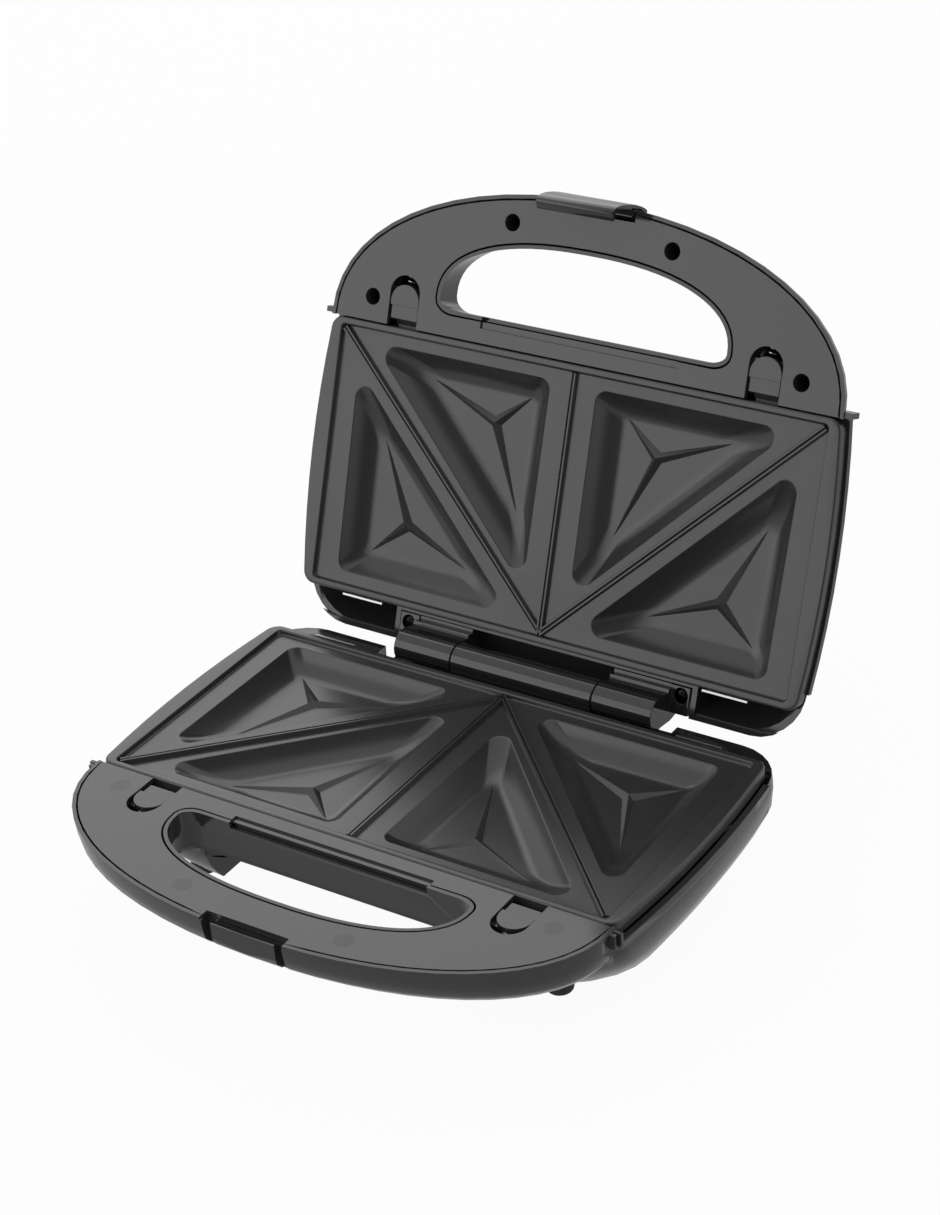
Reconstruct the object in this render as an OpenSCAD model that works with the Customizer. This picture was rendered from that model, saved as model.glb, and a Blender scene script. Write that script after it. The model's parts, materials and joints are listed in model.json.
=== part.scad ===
// Sandwich toaster with two hinged halves, removable plates and a D-shaped handle, shown open.
// X runs along the hinge, -Y points to the handles and +Z is up.
// The origin is on the worktop, under the middle of the open toaster's bounding box.
// Each piece is drawn in its half's own frame: y is the reach in front of the hinge axis,
// z is 0 at the face where the halves meet and falls into the half. The lid is the same
// frame turned over, then swung open about the hinge.

/* [Halves] */
// Angle that the lid has been swung open from closed
lid_open = 111.7; // [95:0.1:115]
// Width across a shell at its widest
shell_width = 244; // [240:1:256]
// How much narrower a shell is at the ends of its bulged sides
side_bulge = 7; // [4:0.5:9]
// Reach of the line where plate ends and handle begins
handle_root = 125; // [122:0.5:128]
// Reach of the front of the handles
handle_reach = 187.5; // [184:1:196]
// Width of a handle at its root
handle_width = 230.4; // [226:0.2:232]
// Depth of the base from the meeting face to its underside
base_depth = 43; // [40:0.5:50]
// Depth of the lid from the meeting face to its top
lid_depth = 35; // [32:0.5:42]
// How far the rim beside a plate lies below the meeting face
rim_drop = 5.5; // [4:0.5:7]
// Reach where the shells are widest
widest_reach = 70; // [60:1:80]
// Radius of the shells' rear corners
rear_corner = 18; // [14:1:22]
// Wall of the moulded shells
wall = 2.2; // [1.8:0.1:2.8]
// Gap between the halves' faces when closed
closed_gap = 0.6; // [0.4:0.1:1.2]

/* [Handles] */
// Depth of a handle at its front edge
handle_depth = 15.8; // [15:0.2:16.4]
// Slope of a handle's underside, deeper towards the body
handle_slope = 3; // [2:0.5:5]
// Width of the rim that a shell shows around its panel
panel_rim = 1.5; // [1.2:0.1:2.4]
// Thickness of the handle panels
panel_thick = 2; // [1.6:0.1:2.4]
// Reach of the straight edge of the D-shaped hand hole
hole_straight = 136; // [134:0.5:140]
// Reach of the widest line of the hand hole
hole_centre = 140; // [139:0.5:144]
// Half the width of the hand hole
hole_half_width = 64.4; // [55:0.2:66]
// Depth of the hand hole's arch beyond its widest line
hole_arch = 26.6; // [22:0.2:28]

/* [Plates] */
// Width of the recessed cooking rectangle
cook_width = 220; // [214:1:224]
// Reach of the cooking rectangle's front edge
cook_front = 122.2; // [121:0.2:123.5]
// Reach of the cooking rectangle's rear edge
cook_rear = 16.3; // [15.5:0.1:18]
// Depth of the cooking rectangle below the plate's flange
cook_drop = 2; // [1.5:0.1:2.5]
// Depth of a pocket below the cooking rectangle
pocket_depth = 7.5; // [6:0.25:9]
// Sheet thickness of a plate
plate_thick = 1.6; // [1.2:0.1:2]
// Width of a dividing bead at its foot
bead_width = 2.8; // [2:0.1:3.4]

/* [Release tabs] */
// Distance of a release tab from the middle
tab_offset = 81.2; // [78:0.2:84]
// Width of a tab's slot in the panel
tab_slot = 14.1; // [12:0.1:16]
// Travel of a tab away from the plate
tab_travel = 3.2; // [2.8:0.1:3.4]

/* [Hinge] */
// Drop of the hinge axis below the meeting face
hinge_drop = 2.5; // [2.4:0.1:3.2]
// Radius of the hinge barrels
barrel_radius = 6.7; // [6:0.1:7]
// Radius of the hinge pin
pin_radius = 2.5; // [2:0.1:3]
// Width of the base's middle barrel
barrel_width = 65; // [56:1:74]
// Length of each lid knuckle
knuckle_length = 26.5; // [20:0.5:30]
// Running clearance around the hinge pin
pin_clearance = 0.05; // [0.03:0.01:0.08]

/* [Latch] */
// Width of the latch
latch_width = 34; // [28:1:38]
// Thickness of the latch's cover
latch_thick = 2; // [1.6:0.1:2.4]
// Radius of the latch pin
latch_pin_radius = 1.25; // [1:0.05:1.5]

/* [Heating] */
// Diameter of the tubular heating element
element_tube = 6.6; // [6:0.1:7]
// Distance between the element's two legs
element_span = 52; // [40:1:60]
// Sheet thickness of the reflector trays
reflector_thick = 0.8; // [0.6:0.1:1.2]

/* [Feet] */
// Height of the rubber feet
foot_height = 5; // [3:0.5:7]
// Diameter of a foot at its top
foot_width = 12; // [10:0.5:14]

/* [Hidden] */
$fn = 48;
// Reach that the cuts run past a face
past = 1;
// Heights in a half's own frame
hinge_z = -hinge_drop;
lid_axis_z = closed_gap + hinge_drop;
cook_z = -cook_drop;
pocket_z = cook_z - pocket_depth;
plate_bottom = pocket_z - plate_thick;
skirt_bottom = -rim_drop + 0.5;
// Reach over which a side narrows by half the bulge
bulge_run = 56;
// Rounded front of a handle
handle_centre = handle_root + 1;
handle_bow = handle_reach - handle_centre;
handle_power = 2.13;
// Hand hole
hole_power = 2.35;
hole_corner = 8;
hole_flare = 2.2;
flare_depth = 17;
scoop_half = hole_half_width + 2;
scoop_top = -18.4;
scoop_foot = 101;
// Panels
panel_gap = 0.35;
panel_inset = panel_rim + panel_gap;
panel_rear = handle_root + 0.4;
step_half = 44;
step_width = 3;
step_drop = 0.9;
// Rear edges of the shells
base_rear = 0.8;
lid_rear = -1;
// Lips along the side rims
lip_rear = 20;
lip_front = handle_root + 1;
lip_depth = 2.6;
base_lip = 1.2;
lid_lip = 3.2;
// Recess that holds the hinge, in both shells
bay_half = 68;
base_bay_reach = 7.4;
lid_bay_reach = 11.2;
base_bay_z = -13.5;
brace_depth = 15;
lid_bay_z = -14;
bay_floor = 3;
ledge_rear = -5;
deck_front = 12;
// Screws: panel screws' places, wells, shafts and heads
panel_screw_spots = [[35.6, handle_reach - 13.4], [handle_width / 2 - 18.8, handle_root + 10.2]];
well_radius = 3.4;
well_wall = 1.2;
joint_z = -8;
lid_joint_z = -9.8;
lid_seat_z = -8;
shaft_radius = 1.5;
shaft_hole = 1.7;
head_radius = 2.8;
head_height = 2;
// Plate outline
plate_front = handle_root - 0.5;
plate_rear = 13.5;
plate_inset = 4.2;
plate_corner = 4.5;
// Clear distance between pieces that slide or turn
slide_gap = 0.3;
// Release tabs
tab_half = tab_slot / 2 - slide_gap;
tab_top = -0.9;
tab_thick = 2.1;
tab_end = 128;
slot_arch = 139;
tab_arch = slot_arch - tab_travel - slide_gap;
flange_half = 9.5;
flange_top = -panel_thick - slide_gap;
flange_bottom = flange_top - 1.9;
slider_half = 5.5;
slider_bottom = -7;
slider_front = 141;
nose_half = 5;
nose_reach = plate_front + 0.8;
nose_top = -3.1;
nose_bottom = -4.6;
lug_reach = nose_reach + 1.7;
rail_bottom = -6;
spring_radius = 2.2;
spring_wire = 0.4;
spring_z = -5;
spring_turns = 5;
peg_radius = 1.2;
stop_reach = 151;
// Latch, drawn with the lid
latch_pin_reach = 184.2;
latch_pin_z = -6;
latch_back = 186.9;
base_face = latch_back - 0.7;
catch_reach = 180.2;
catch_z = -13.2;
latch_front = latch_back + latch_thick;
latch_top = -10.5;
latch_hook_z = 13.9;
latch_lip = 6.4;
latch_barrel = 2.6;
latch_half = latch_width / 2;
bay_clear = 0.7;
latch_bay_half = latch_half + bay_clear;
latch_bay_reach = 181.2;
latch_spring_half = 4.5;
// Reflector, element and what hangs below them
reflector_half = shell_width / 2 - 18;
reflector_front = 119.5;
reflector_rear = 17.6;
reflector_top = cook_z - plate_thick;
element_z = plate_bottom - slide_gap - element_tube / 2;
reflector_floor = element_z - element_tube / 2 - 2.4;
reflector_under = reflector_floor - reflector_thick;
element_middle = 69;
element_bend = -62;
element_end = 84;
clip_spots = [-40, 40];
boss_spots = [[82, 32], [82, 104]];
boss_radius = 4;
// Lid knuckles
knuckle_start = barrel_width / 2 + 0.6;
knuckle_end = knuckle_start + knuckle_length;
ear_half = bay_half - 0.6;
ear_screw = [(knuckle_end + ear_half) / 2, 7];
ear_top = -5;
// Feet
front_foot = [shell_width / 2 - 41, 112];
rear_foot = [shell_width / 2 - 42, 30];
stem_radius = 2.6;
// Cord inlet
inlet_x = 36 - shell_width / 2;
inlet_z = -27;
inlet_radius = 4;
// Terminal block and cut-out fuse
block_x = inlet_x;
block_reach = 61;
block_half = 8;
block_height = 11;
way_pitch = 10;
way_radius = 2;
fuse_x = -26;
fuse_radius = 2;
fuse_drop = 2.4;
strap_half = 3;
// Lamps in the lid
lamp_spot = 9;
lamp_reach = 92;
lens_radius = 3;

// Where each half's pieces go
swing = lid_open - 90;
lid_top_back = latch_front * sin(swing) + (lid_axis_z - latch_top) * cos(swing);
origin_reach = (handle_reach - lid_top_back) / 2;
ground_drop = base_depth + foot_height;

module in_base() {
    translate([0, origin_reach, ground_drop])
        mirror([0, 1, 0])
            children();
}

module in_lid() {
    in_base()
        translate([0, 0, hinge_z])
            rotate([lid_open, 0, 0])
                translate([0, 0, closed_gap - hinge_z])
                    mirror([0, 0, 1])
                        children();
}

module both_sides() {
    children();
    mirror([1, 0, 0])
        children();
}

module block(x, y, z) {
    translate([x[0], y[0], z[0]])
        cube([x[1] - x[0], y[1] - y[0], z[1] - z[0]]);
}

module slab(z, thick, points) {
    translate([0, 0, z])
        linear_extrude(thick)
            polygon(points);
}

// A profile in reach and height, drawn out along x
module along_x(from, to, points) {
    translate([from, 0, 0])
        rotate([90, 0, 90])
            linear_extrude(to - from)
                polygon(points);
}

// A round bar along x at a reach and height
module bar_x(from, to, reach, z, r) {
    translate([from, reach, z])
        rotate([0, 90, 0])
            cylinder(h = to - from, r = r);
}

// ---- Outlines ----

function arc_points(a, b, power, centre, from, to, steps) = [
    for (i = [0:steps])
        let (t = from + (to - from) * i / steps)
        [
            a * sign(cos(t)) * pow(abs(cos(t)), 2 / power),
            centre + b * sign(sin(t)) * pow(abs(sin(t)), 2 / power)
        ]
];

// Half the width of a handle's rounded front at some reach
function bow_half(inset, reach) =
    (handle_width / 2 - inset)
    * pow(1 - pow(abs(reach - handle_centre) / (handle_bow - inset), handle_power), 1 / handle_power);

// Rounded front of a handle, inset all round and cut off at a rear line
function handle_outline(inset, rear, steps) = concat(
    [[bow_half(inset, rear), rear]],
    [for (p = arc_points(handle_width / 2 - inset, handle_bow - inset, handle_power,
        handle_centre, 0, 180, steps)) if (p[1] > rear + 0.5) p],
    [[-bow_half(inset, rear), rear]]
);

// The D-shaped hand hole, grown all round
function hand_hole(grow) =
    let (a = hole_half_width + grow, flat = hole_centre - hole_straight + grow)
    concat(
        arc_points(a, hole_arch + grow, hole_power, hole_centre, 0, 180, 36),
        [for (t = [200:14:270])
            [hole_corner - a + hole_corner * cos(t), hole_centre + flat * sin(t)]],
        [for (t = [270:14:340])
            [a - hole_corner + hole_corner * cos(t), hole_centre + flat * sin(t)]]
    );

// Half the width of a shell at some reach
function side_half(reach) =
    shell_width / 2 - side_bulge / 2 * pow((reach - widest_reach) / bulge_run, 2);

// Right half of an outline with bulged sides, from the rear to the front
function side_points(inset, rear, front, rear_r, front_r) = concat(
    [for (a = [0:15:90])
        let (y = rear + rear_r * (1 - cos(a)))
        [side_half(y) - inset - rear_r * (1 - sin(a)), y]],
    [for (i = [1:7])
        let (y = rear + rear_r + (front - front_r - rear - rear_r) * i / 8)
        [side_half(y) - inset, y]],
    [for (a = [90:-15:0])
        let (y = front - front_r * (1 - cos(a)))
        [side_half(y) - inset - front_r * (1 - sin(a)), y]]
);

function mirrored(points) = concat(
    points,
    [for (i = [len(points) - 1:-1:0]) [-points[i][0], points[i][1]]]
);

function bulged(inset, rear, front, rear_r, front_r) =
    mirrored(side_points(inset, rear, front, rear_r, front_r));

// A rectangle centred on x with rounded corners
function rounded(half, rear, front, rear_r, front_r) = mirrored(concat(
    [for (a = [0:15:90]) [half - rear_r * (1 - sin(a)), rear + rear_r * (1 - cos(a))]],
    [for (a = [90:-15:0]) [half - front_r * (1 - sin(a)), front - front_r * (1 - cos(a))]]
));

// ---- Shells ----

// A shell's side at growing depth: share of the depth, inset, rear offset, front, front corner
base_levels = [
    [0, 2.1, 0, 128, 5],
    [0.12, 1.4, 0.5, 128, 7],
    [0.33, 2.2, 1, 128, 12],
    [0.6, 7.3, 4, 127, 26],
    [0.76, 11.2, 7, 125, 28],
    [0.9, 16.5, 11, 122, 30],
    [1, 24, 17, 119, 30]
];
lid_levels = [
    [0, 3.7, 0, 128, 5],
    [0.3, 8, 3, 128, 8],
    [0.62, 14.5, 8, 124, 12],
    [0.87, 24, 15, 116, 18],
    [1, 36, 24, 106, 20]
];
// A handle's edge at growing depth: depth at the front, inset
base_edge = [[6, 0.5], [10.2, 1.4], [12.3, 3.2], [14.4, 5.5], [handle_depth, 8]];
lid_edge = [[2.4, 0.5], [5, 2.9], [8, 5.4], [11, 7.9], [12.6, 10]];

// The tub beside and under a plate; shrink gives its inside
module tub(levels, depth, rear, shrink) {
    hull() {
        for (level = levels)
            slab(-rim_drop - (depth - rim_drop - shrink) * level[0] - 0.1 * (1 - level[0]), 0.1,
                bulged(level[1] + shrink, rear + level[2] + shrink, level[3] - shrink,
                    rear_corner, level[4]));
    }
}

// One outline of a handle's rounded edge, sloping with the underside
module edge_slab(p, deepest, shrink, lift, rear) {
    translate([0, handle_reach, lift * p[0] / deepest - p[0]])
        rotate([handle_slope * p[0] / deepest, 0, 0])
            translate([0, -handle_reach, 0])
                linear_extrude(0.1)
                    polygon(handle_outline(p[1] + shrink, rear, 28));
}

// A handle before its hand hole is cut; shrink and lift give its inside
module handle_block(edge, shrink, lift, rear, top) {
    hull() {
        slab(top - 0.1, 0.1, handle_outline(shrink, rear, 28));
        for (p = edge)
            edge_slab(p, edge[len(edge) - 1][0], shrink, lift, rear);
    }
}

// The handle carried on below the rim, into the body
module handle_root_block(edge) {
    hull()
        for (p = edge)
            if (p[0] > rim_drop)
                edge_slab(p, edge[len(edge) - 1][0], 0, 0, handle_root - 18);
}

// The hand hole through a handle, a little wider at the back
module hand_hole_cut(grow, depth) {
    hull() {
        slab(past, 0.1, hand_hole(grow));
        slab(-flare_depth, 0.1, hand_hole(grow + hole_flare));
    }
    slab(-depth - past, depth - flare_depth + past + 0.05, hand_hole(grow + hole_flare));
}

// Room for fingers under the straight edge of the hand hole
module finger_scoop(shift) {
    along_x(-scoop_half + shift, scoop_half - shift, [
        [handle_reach, scoop_top + shift * 1.3],
        [hole_straight - 1 - shift, scoop_top + shift * 1.3],
        [scoop_foot - shift * 1.6, -base_depth - past],
        [handle_reach, -base_depth - past]
    ]);
}

// The recess at the rear for the hinge
module hinge_bay(reach, floor_z, grow) {
    block([-bay_half - grow, bay_half + grow], [ledge_rear - past, reach + grow],
        [floor_z, past]);
}

// Shell of one half; its children are what stands in its hollow
module shell(levels, edge, depth, rear, bay_reach, bay_z) {
    difference() {
        union() {
            tub(levels, depth, rear, 0);
            handle_block(edge, 0, 0, handle_root + 0.2, 0);
            handle_root_block(edge);
        }
        difference() {
            union() {
                tub(levels, depth, rear, wall);
                slab(-rim_drop - past, rim_drop + 2 * past,
                    bulged(wall, rear + wall, handle_root - 2, rear_corner - wall, 5));
                handle_block(edge, panel_rim, wall, handle_root - 3, past);
                slab(-panel_thick - 0.3, panel_thick + 0.3 + past,
                    handle_outline(panel_rim, handle_root - 3, 28));
            }
            hinge_bay(bay_reach, bay_z - bay_floor, wall);
            hand_hole_cut(panel_rim, depth);
            block([-latch_bay_half - wall, latch_bay_half + wall],
                [latch_bay_reach - wall, handle_reach + past], [-depth, -panel_thick]);
            children();
        }
        hinge_bay(bay_reach, bay_z, 0);
        hand_hole_cut(0, depth);
        steam_step();
    }
}

// Step and groove along the straight edge of the hand hole
module steam_step() {
    block([-step_half, step_half], [hole_straight - step_width, hole_straight + past],
        [-panel_thick - 0.8, past]);
    block([-step_half, step_half], [hole_straight - 0.7, hole_straight + past], [-5.4, -4.2]);
}

// Lip along the rim beside a plate
module side_lips(inset) {
    span = lip_front - lip_rear;
    both_sides()
        slab(-rim_drop - lip_depth, lip_depth, concat(
            [for (i = [0:8])
                let (y = lip_rear + span * i / 8)
                [side_half(y) - inset, y]],
            [for (i = [8:-1:0])
                let (y = lip_rear + span * i / 8)
                [side_half(y) - inset - 2.4, y]]
        ));
}

// Lugs where a handle's rim steps down to the rim beside the plate
module corner_lugs(ribs, width) {
    both_sides()
        for (i = [0:ribs - 1])
            block([handle_width / 2 - 1.7, handle_width / 2 + 3.2 - i * 1.2],
                [handle_root + 0.6 + i * (width + 0.8), handle_root + 0.6 + width + i * (width + 0.8)],
                [-rim_drop - 1, -0.6]);
}

module at_spots(spots) {
    both_sides()
        for (spot = spots)
            translate([spot[0], spot[1], 0])
                children();
}

// Posts that carry a reflector tray
module reflector_posts(depth) {
    at_spots(boss_spots)
        translate([0, 0, -depth])
            cylinder(h = depth + reflector_under, r = boss_radius);
}

module reflector_post_holes() {
    at_spots(boss_spots)
        translate([0, 0, reflector_under - 7])
            cylinder(h = 7 + past, r = shaft_radius);
}

module base_housing() {
    color("#39393a")
        in_base()
            difference() {
                union() {
                    shell(base_levels, base_edge, base_depth, base_rear, base_bay_reach, base_bay_z) {
                        at_spots(panel_screw_spots)
                            translate([0, 0, -base_depth])
                                cylinder(h = base_depth + joint_z, r = well_radius + well_wall);
                        reflector_posts(base_depth);
                        inlet_collar();
                        finger_scoop(-wall);
                        block([-shell_width / 2, shell_width / 2], [base_rear, deck_front],
                            [-rim_drop - wall, past]);
                    }
                    hinge_ledge();
                    side_lips(base_lip);
                    corner_lugs(2, 1.4);
                }
                finger_scoop(0);
                base_latch_recess();
                at_spots(panel_screw_spots)
                    base_screw_well();
                reflector_post_holes();
                foot_stem_holes();
                cord_inlet(rise = past);
                barrel_screw_wells();
            }
}

// Ledge behind the tub that the middle barrel stands on
module hinge_ledge() {
    along_x(-bay_half, bay_half, [
        [base_bay_reach + wall, base_bay_z],
        [ledge_rear, base_bay_z],
        [ledge_rear, base_bay_z - bay_floor],
        [base_rear + 4, base_bay_z - brace_depth],
        [base_bay_reach + wall, base_bay_z - brace_depth]
    ]);
}

// Well and hole of a screw that comes up from a handle's underside
module base_screw_well() {
    translate([0, 0, -base_depth])
        cylinder(h = base_depth + joint_z - 2.5, r = well_radius);
    translate([0, 0, joint_z - 2.5 - past])
        cylinder(h = 2.5 + 2 * past, r = shaft_hole);
}

// Recess in the base's front for the latch, with a ledge and a catch under it
module base_latch_recess() {
    ledge_half = latch_bay_half + 0.4;
    end_half = latch_bay_half - 3.7;
    block([-ledge_half, ledge_half], [latch_bay_reach + 1.4, handle_reach + past], [-1.7, past]);
    block([-latch_bay_half, latch_bay_half], [base_face, handle_reach + past],
        [-base_depth, past]);
    block([-end_half, end_half], [latch_bay_reach + 1.4, latch_bay_reach + 3], [-3.2, past]);
    block([-latch_bay_half, latch_bay_half], [catch_reach, handle_reach + past],
        [-base_depth, catch_z]);
    both_sides()
        block([end_half, latch_bay_half], [latch_bay_reach + 1.4, handle_reach + past],
            [-base_depth, past]);
}

module foot_stem_holes() {
    at_spots([front_foot, rear_foot])
        translate([0, 0, -base_depth - past])
            cylinder(h = wall + 2 * past, r = stem_radius);
}

module inlet_collar() {
    translate([inlet_x, base_rear, inlet_z])
        rotate([-90, 0, 0])
            cylinder(h = 10, r = inlet_radius + 2.5);
}

module cord_inlet(rise) {
    translate([inlet_x, base_rear - rise, inlet_z])
        rotate([-90, 0, 0])
            cylinder(h = 10 + 2 * rise, r = inlet_radius);
}

module barrel_screw_wells() {
    both_sides()
        translate([barrel_width / 4, 0, -base_depth]) {
            cylinder(h = base_depth + base_bay_z - bay_floor, r = head_radius + 0.3);
            cylinder(h = base_depth + past, r = shaft_hole);
        }
}

module lid_housing() {
    color("#39393a")
        in_lid()
            difference() {
                union() {
                    shell(lid_levels, lid_edge, lid_depth, lid_rear, lid_bay_reach, lid_bay_z) {
                        at_spots(panel_screw_spots)
                            translate([0, 0, -lid_depth])
                                cylinder(h = lid_depth + lid_joint_z, r = well_radius);
                        reflector_posts(lid_depth);
                    }
                    side_lips(lid_lip);
                    corner_lugs(1, 2.2);
                }
                block([-latch_bay_half, latch_bay_half], [latch_bay_reach, handle_reach + past],
                    [-lid_depth, past]);
                bar_x(-latch_bay_half - wall, latch_bay_half + wall, latch_pin_reach,
                    latch_pin_z, latch_pin_radius);
                at_spots(panel_screw_spots) {
                    translate([0, 0, lid_joint_z - 2.4])
                        cylinder(h = 2.4 + past, r = shaft_radius);
                    translate([0, 0, lid_joint_z])
                        cylinder(h = past - lid_joint_z, r = well_radius + well_wall + 0.05);
                }
                reflector_post_holes();
                ear_screw_holes(shaft_radius, lid_bay_z - bay_floor + 0.4);
                both_sides()
                    translate([lamp_spot, lamp_reach, -lid_depth - past])
                        cylinder(h = wall + 2 * past, r = lens_radius);
            }
}

module ear_screw_holes(r, bottom) {
    both_sides()
        translate([ear_screw[0], ear_screw[1], bottom])
            cylinder(h = past - bottom, r = r);
}

// ---- Panels ----

module tab_slot_cut() {
    translate([0, slot_arch, -panel_thick - past])
        cylinder(h = panel_thick + 2 * past, r = tab_slot / 2);
    block([-tab_slot / 2, tab_slot / 2], [handle_root - past, slot_arch],
        [-panel_thick - past, past]);
}

// Rails under a panel that carry a release tab, and the stop behind its spring
module tab_guides() {
    both_sides() {
        block([flange_half + slide_gap, flange_half + slide_gap + 1.5],
            [panel_rear + 1.5, slider_front + tab_travel + 2], [rail_bottom, -panel_thick]);
        block([slider_half + slide_gap, flange_half + slide_gap + 1.5],
            [panel_rear + 1.5, slider_front + tab_travel + 2],
            [rail_bottom, flange_bottom - slide_gap]);
    }
    block([-3, 3], [stop_reach, stop_reach + 1.6], [slider_bottom - 1, -panel_thick]);
    translate([0, stop_reach, spring_z])
        rotate([90, 0, 0])
            cylinder(h = 2.5, r = peg_radius);
}

module at_tabs() {
    for (side = [-1, 1])
        translate([side * tab_offset, 0, 0])
            children();
}

module panel_sheet() {
    difference() {
        slab(-panel_thick, panel_thick, handle_outline(panel_inset, panel_rear, 44));
        slab(-panel_thick - past, panel_thick + 2 * past, hand_hole(panel_inset + 0.1));
        at_tabs()
            tab_slot_cut();
        block([-latch_bay_half - 0.4, latch_bay_half + 0.4],
            [latch_bay_reach + 1, handle_reach], [-panel_thick - past, past]);
        block([-step_half, step_half], [hole_straight - 1.5 - step_width, hole_straight],
            [-step_drop, past]);
    }
}

module base_panel() {
    color("#58595a")
        in_base()
            difference() {
                union() {
                    panel_sheet();
                    at_tabs()
                        tab_guides();
                    at_spots(panel_screw_spots)
                        translate([0, 0, joint_z])
                            cylinder(h = -joint_z - panel_thick, r = well_radius);
                }
                at_spots(panel_screw_spots)
                    translate([0, 0, joint_z - past])
                        cylinder(h = 4.5 + past, r = shaft_radius);
            }
}

module lid_panel() {
    color("#58595a")
        in_lid()
            difference() {
                union() {
                    panel_sheet();
                    at_tabs()
                        tab_guides();
                    at_spots(panel_screw_spots)
                        translate([0, 0, lid_joint_z])
                            cylinder(h = -lid_joint_z - panel_thick, r = well_radius + well_wall);
                }
                at_spots(panel_screw_spots) {
                    translate([0, 0, lid_seat_z])
                        cylinder(h = past - lid_seat_z, r = well_radius);
                    translate([0, 0, lid_joint_z - past])
                        cylinder(h = past - lid_joint_z, r = shaft_hole);
                }
            }
}

// ---- Plates ----

// Pocket corners: outer tip, right-angled corner and tip by the middle
front_pocket = [[94.4, 116.6], [10.6, 116.6], [11, 34]];
rear_pocket = [[100.4, 104.6], [99, 21.8], [15.8, 21.8]];
front_hub = [36.5, 94.7];
rear_hub = [72.4, 45.2];
// Shares of the pocket's depth and how far its wall has come in there
pocket_wall = [[0, 0], [0.35, 1.2], [0.68, 3.4], [0.9, 6], [1, 9]];
pocket_corner = 4.5;

// Centre of the circle that touches all three sides of a triangle
function incentre(t) =
    let (
        a = norm(t[1] - t[2]),
        b = norm(t[2] - t[0]),
        c = norm(t[0] - t[1])
    )
    (a * t[0] + b * t[1] + c * t[2]) / (a + b + c);

function inradius(t) =
    let (
        a = norm(t[1] - t[2]),
        b = norm(t[2] - t[0]),
        c = norm(t[0] - t[1]),
        s = (a + b + c) / 2
    )
    sqrt((s - a) * (s - b) * (s - c) / s);

// A triangle with its sides moved in by a distance
function moved_in(t, by) =
    let (m = incentre(t), share = 1 - by / inradius(t))
    [for (p = t) m + share * (p - m)];

// The hollow of a pocket; grow gives the outside of its sheet
module pocket(t, grow) {
    hull()
        for (step = pocket_wall)
            for (p = moved_in(t, pocket_corner + step[1] * 0.9))
                translate([p[0], p[1], cook_z - pocket_depth * step[0] - grow])
                    cylinder(h = 0.1 + grow * (step[0] == 0 ? 1 : 0.2),
                        r = pocket_corner - step[1] * 0.1 + grow, $fn = 24);
}

// Raised star on a pocket's floor: three tapering arms from a hub towards the corners
module pocket_star(t, hub) {
    tips = [for (p = moved_in(t, 5)) p - hub];
    valleys = [for (i = [0:2]) -2.3 * tips[(i + 2) % 3] / norm(tips[(i + 2) % 3])];
    translate([hub[0], hub[1], pocket_z - 0.2])
        linear_extrude(2.1, scale = 0.02)
            polygon([for (i = [0:2]) for (p = [tips[i], valleys[i]]) p]);
}

module bead(from, to) {
    run = to - from;
    translate([from[0], from[1], cook_z - 0.2])
        rotate([0, 0, atan2(run[1], run[0])])
            rotate([90, 0, 90])
                linear_extrude(norm(run))
                    polygon([
                        [-bead_width / 2, 0],
                        [bead_width / 2, 0],
                        [bead_width / 2 - 0.7, cook_drop - 0.2],
                        [0.35, cook_drop - 0.2],
                        [0, cook_drop - 0.7],
                        [-0.35, cook_drop - 0.2],
                        [0.7 - bead_width / 2, cook_drop - 0.2]
                    ]);
}

module plate() {
    cook_half = cook_width / 2;
    difference() {
        union() {
            difference() {
                slab(skirt_bottom, -skirt_bottom,
                    bulged(plate_inset, plate_rear, plate_front, plate_corner, plate_corner));
                slab(skirt_bottom - past, past - skirt_bottom - plate_thick,
                    bulged(plate_inset + plate_thick, plate_rear + plate_thick,
                        plate_front - plate_thick, plate_corner, plate_corner));
            }
            slab(cook_z - plate_thick, cook_drop + 0.5,
                rounded(cook_half + plate_thick, cook_rear - plate_thick + 0.2,
                    cook_front + plate_thick - 1, 2, 2));
            both_sides() {
                pocket(front_pocket, plate_thick);
                pocket(rear_pocket, plate_thick);
                block([tab_offset - nose_half + 0.4, tab_offset + nose_half - 0.4],
                    [plate_front - plate_thick / 2, lug_reach],
                    [nose_bottom - slide_gap - 1.4, nose_bottom - slide_gap]);
                block([tab_offset - nose_half + 0.9, tab_offset + nose_half - 0.9],
                    [plate_front - plate_thick * 0.7, plate_front - 0.2],
                    [nose_bottom - slide_gap - 0.4, skirt_bottom + 0.5]);
            }
        }
        slab(cook_z, cook_drop + past, rounded(cook_half, cook_rear, cook_front, 1.5, 1.5));
        both_sides() {
            pocket(front_pocket, 0);
            pocket(rear_pocket, 0);
        }
    }
    both_sides() {
        pocket_star(front_pocket, front_hub);
        pocket_star(rear_pocket, rear_hub);
        bead([0, cook_rear + 0.6], [cook_half - 1.2, cook_front - 1]);
    }
    bead([0, cook_rear + 0.6], [0, cook_front - 0.4]);
}

module lower_plate() {
    color("#2e2e2f")
        in_base()
            plate();
}

module upper_plate() {
    color("#4c4d4e")
        in_lid()
            plate();
}

// ---- Under the plates ----

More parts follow.
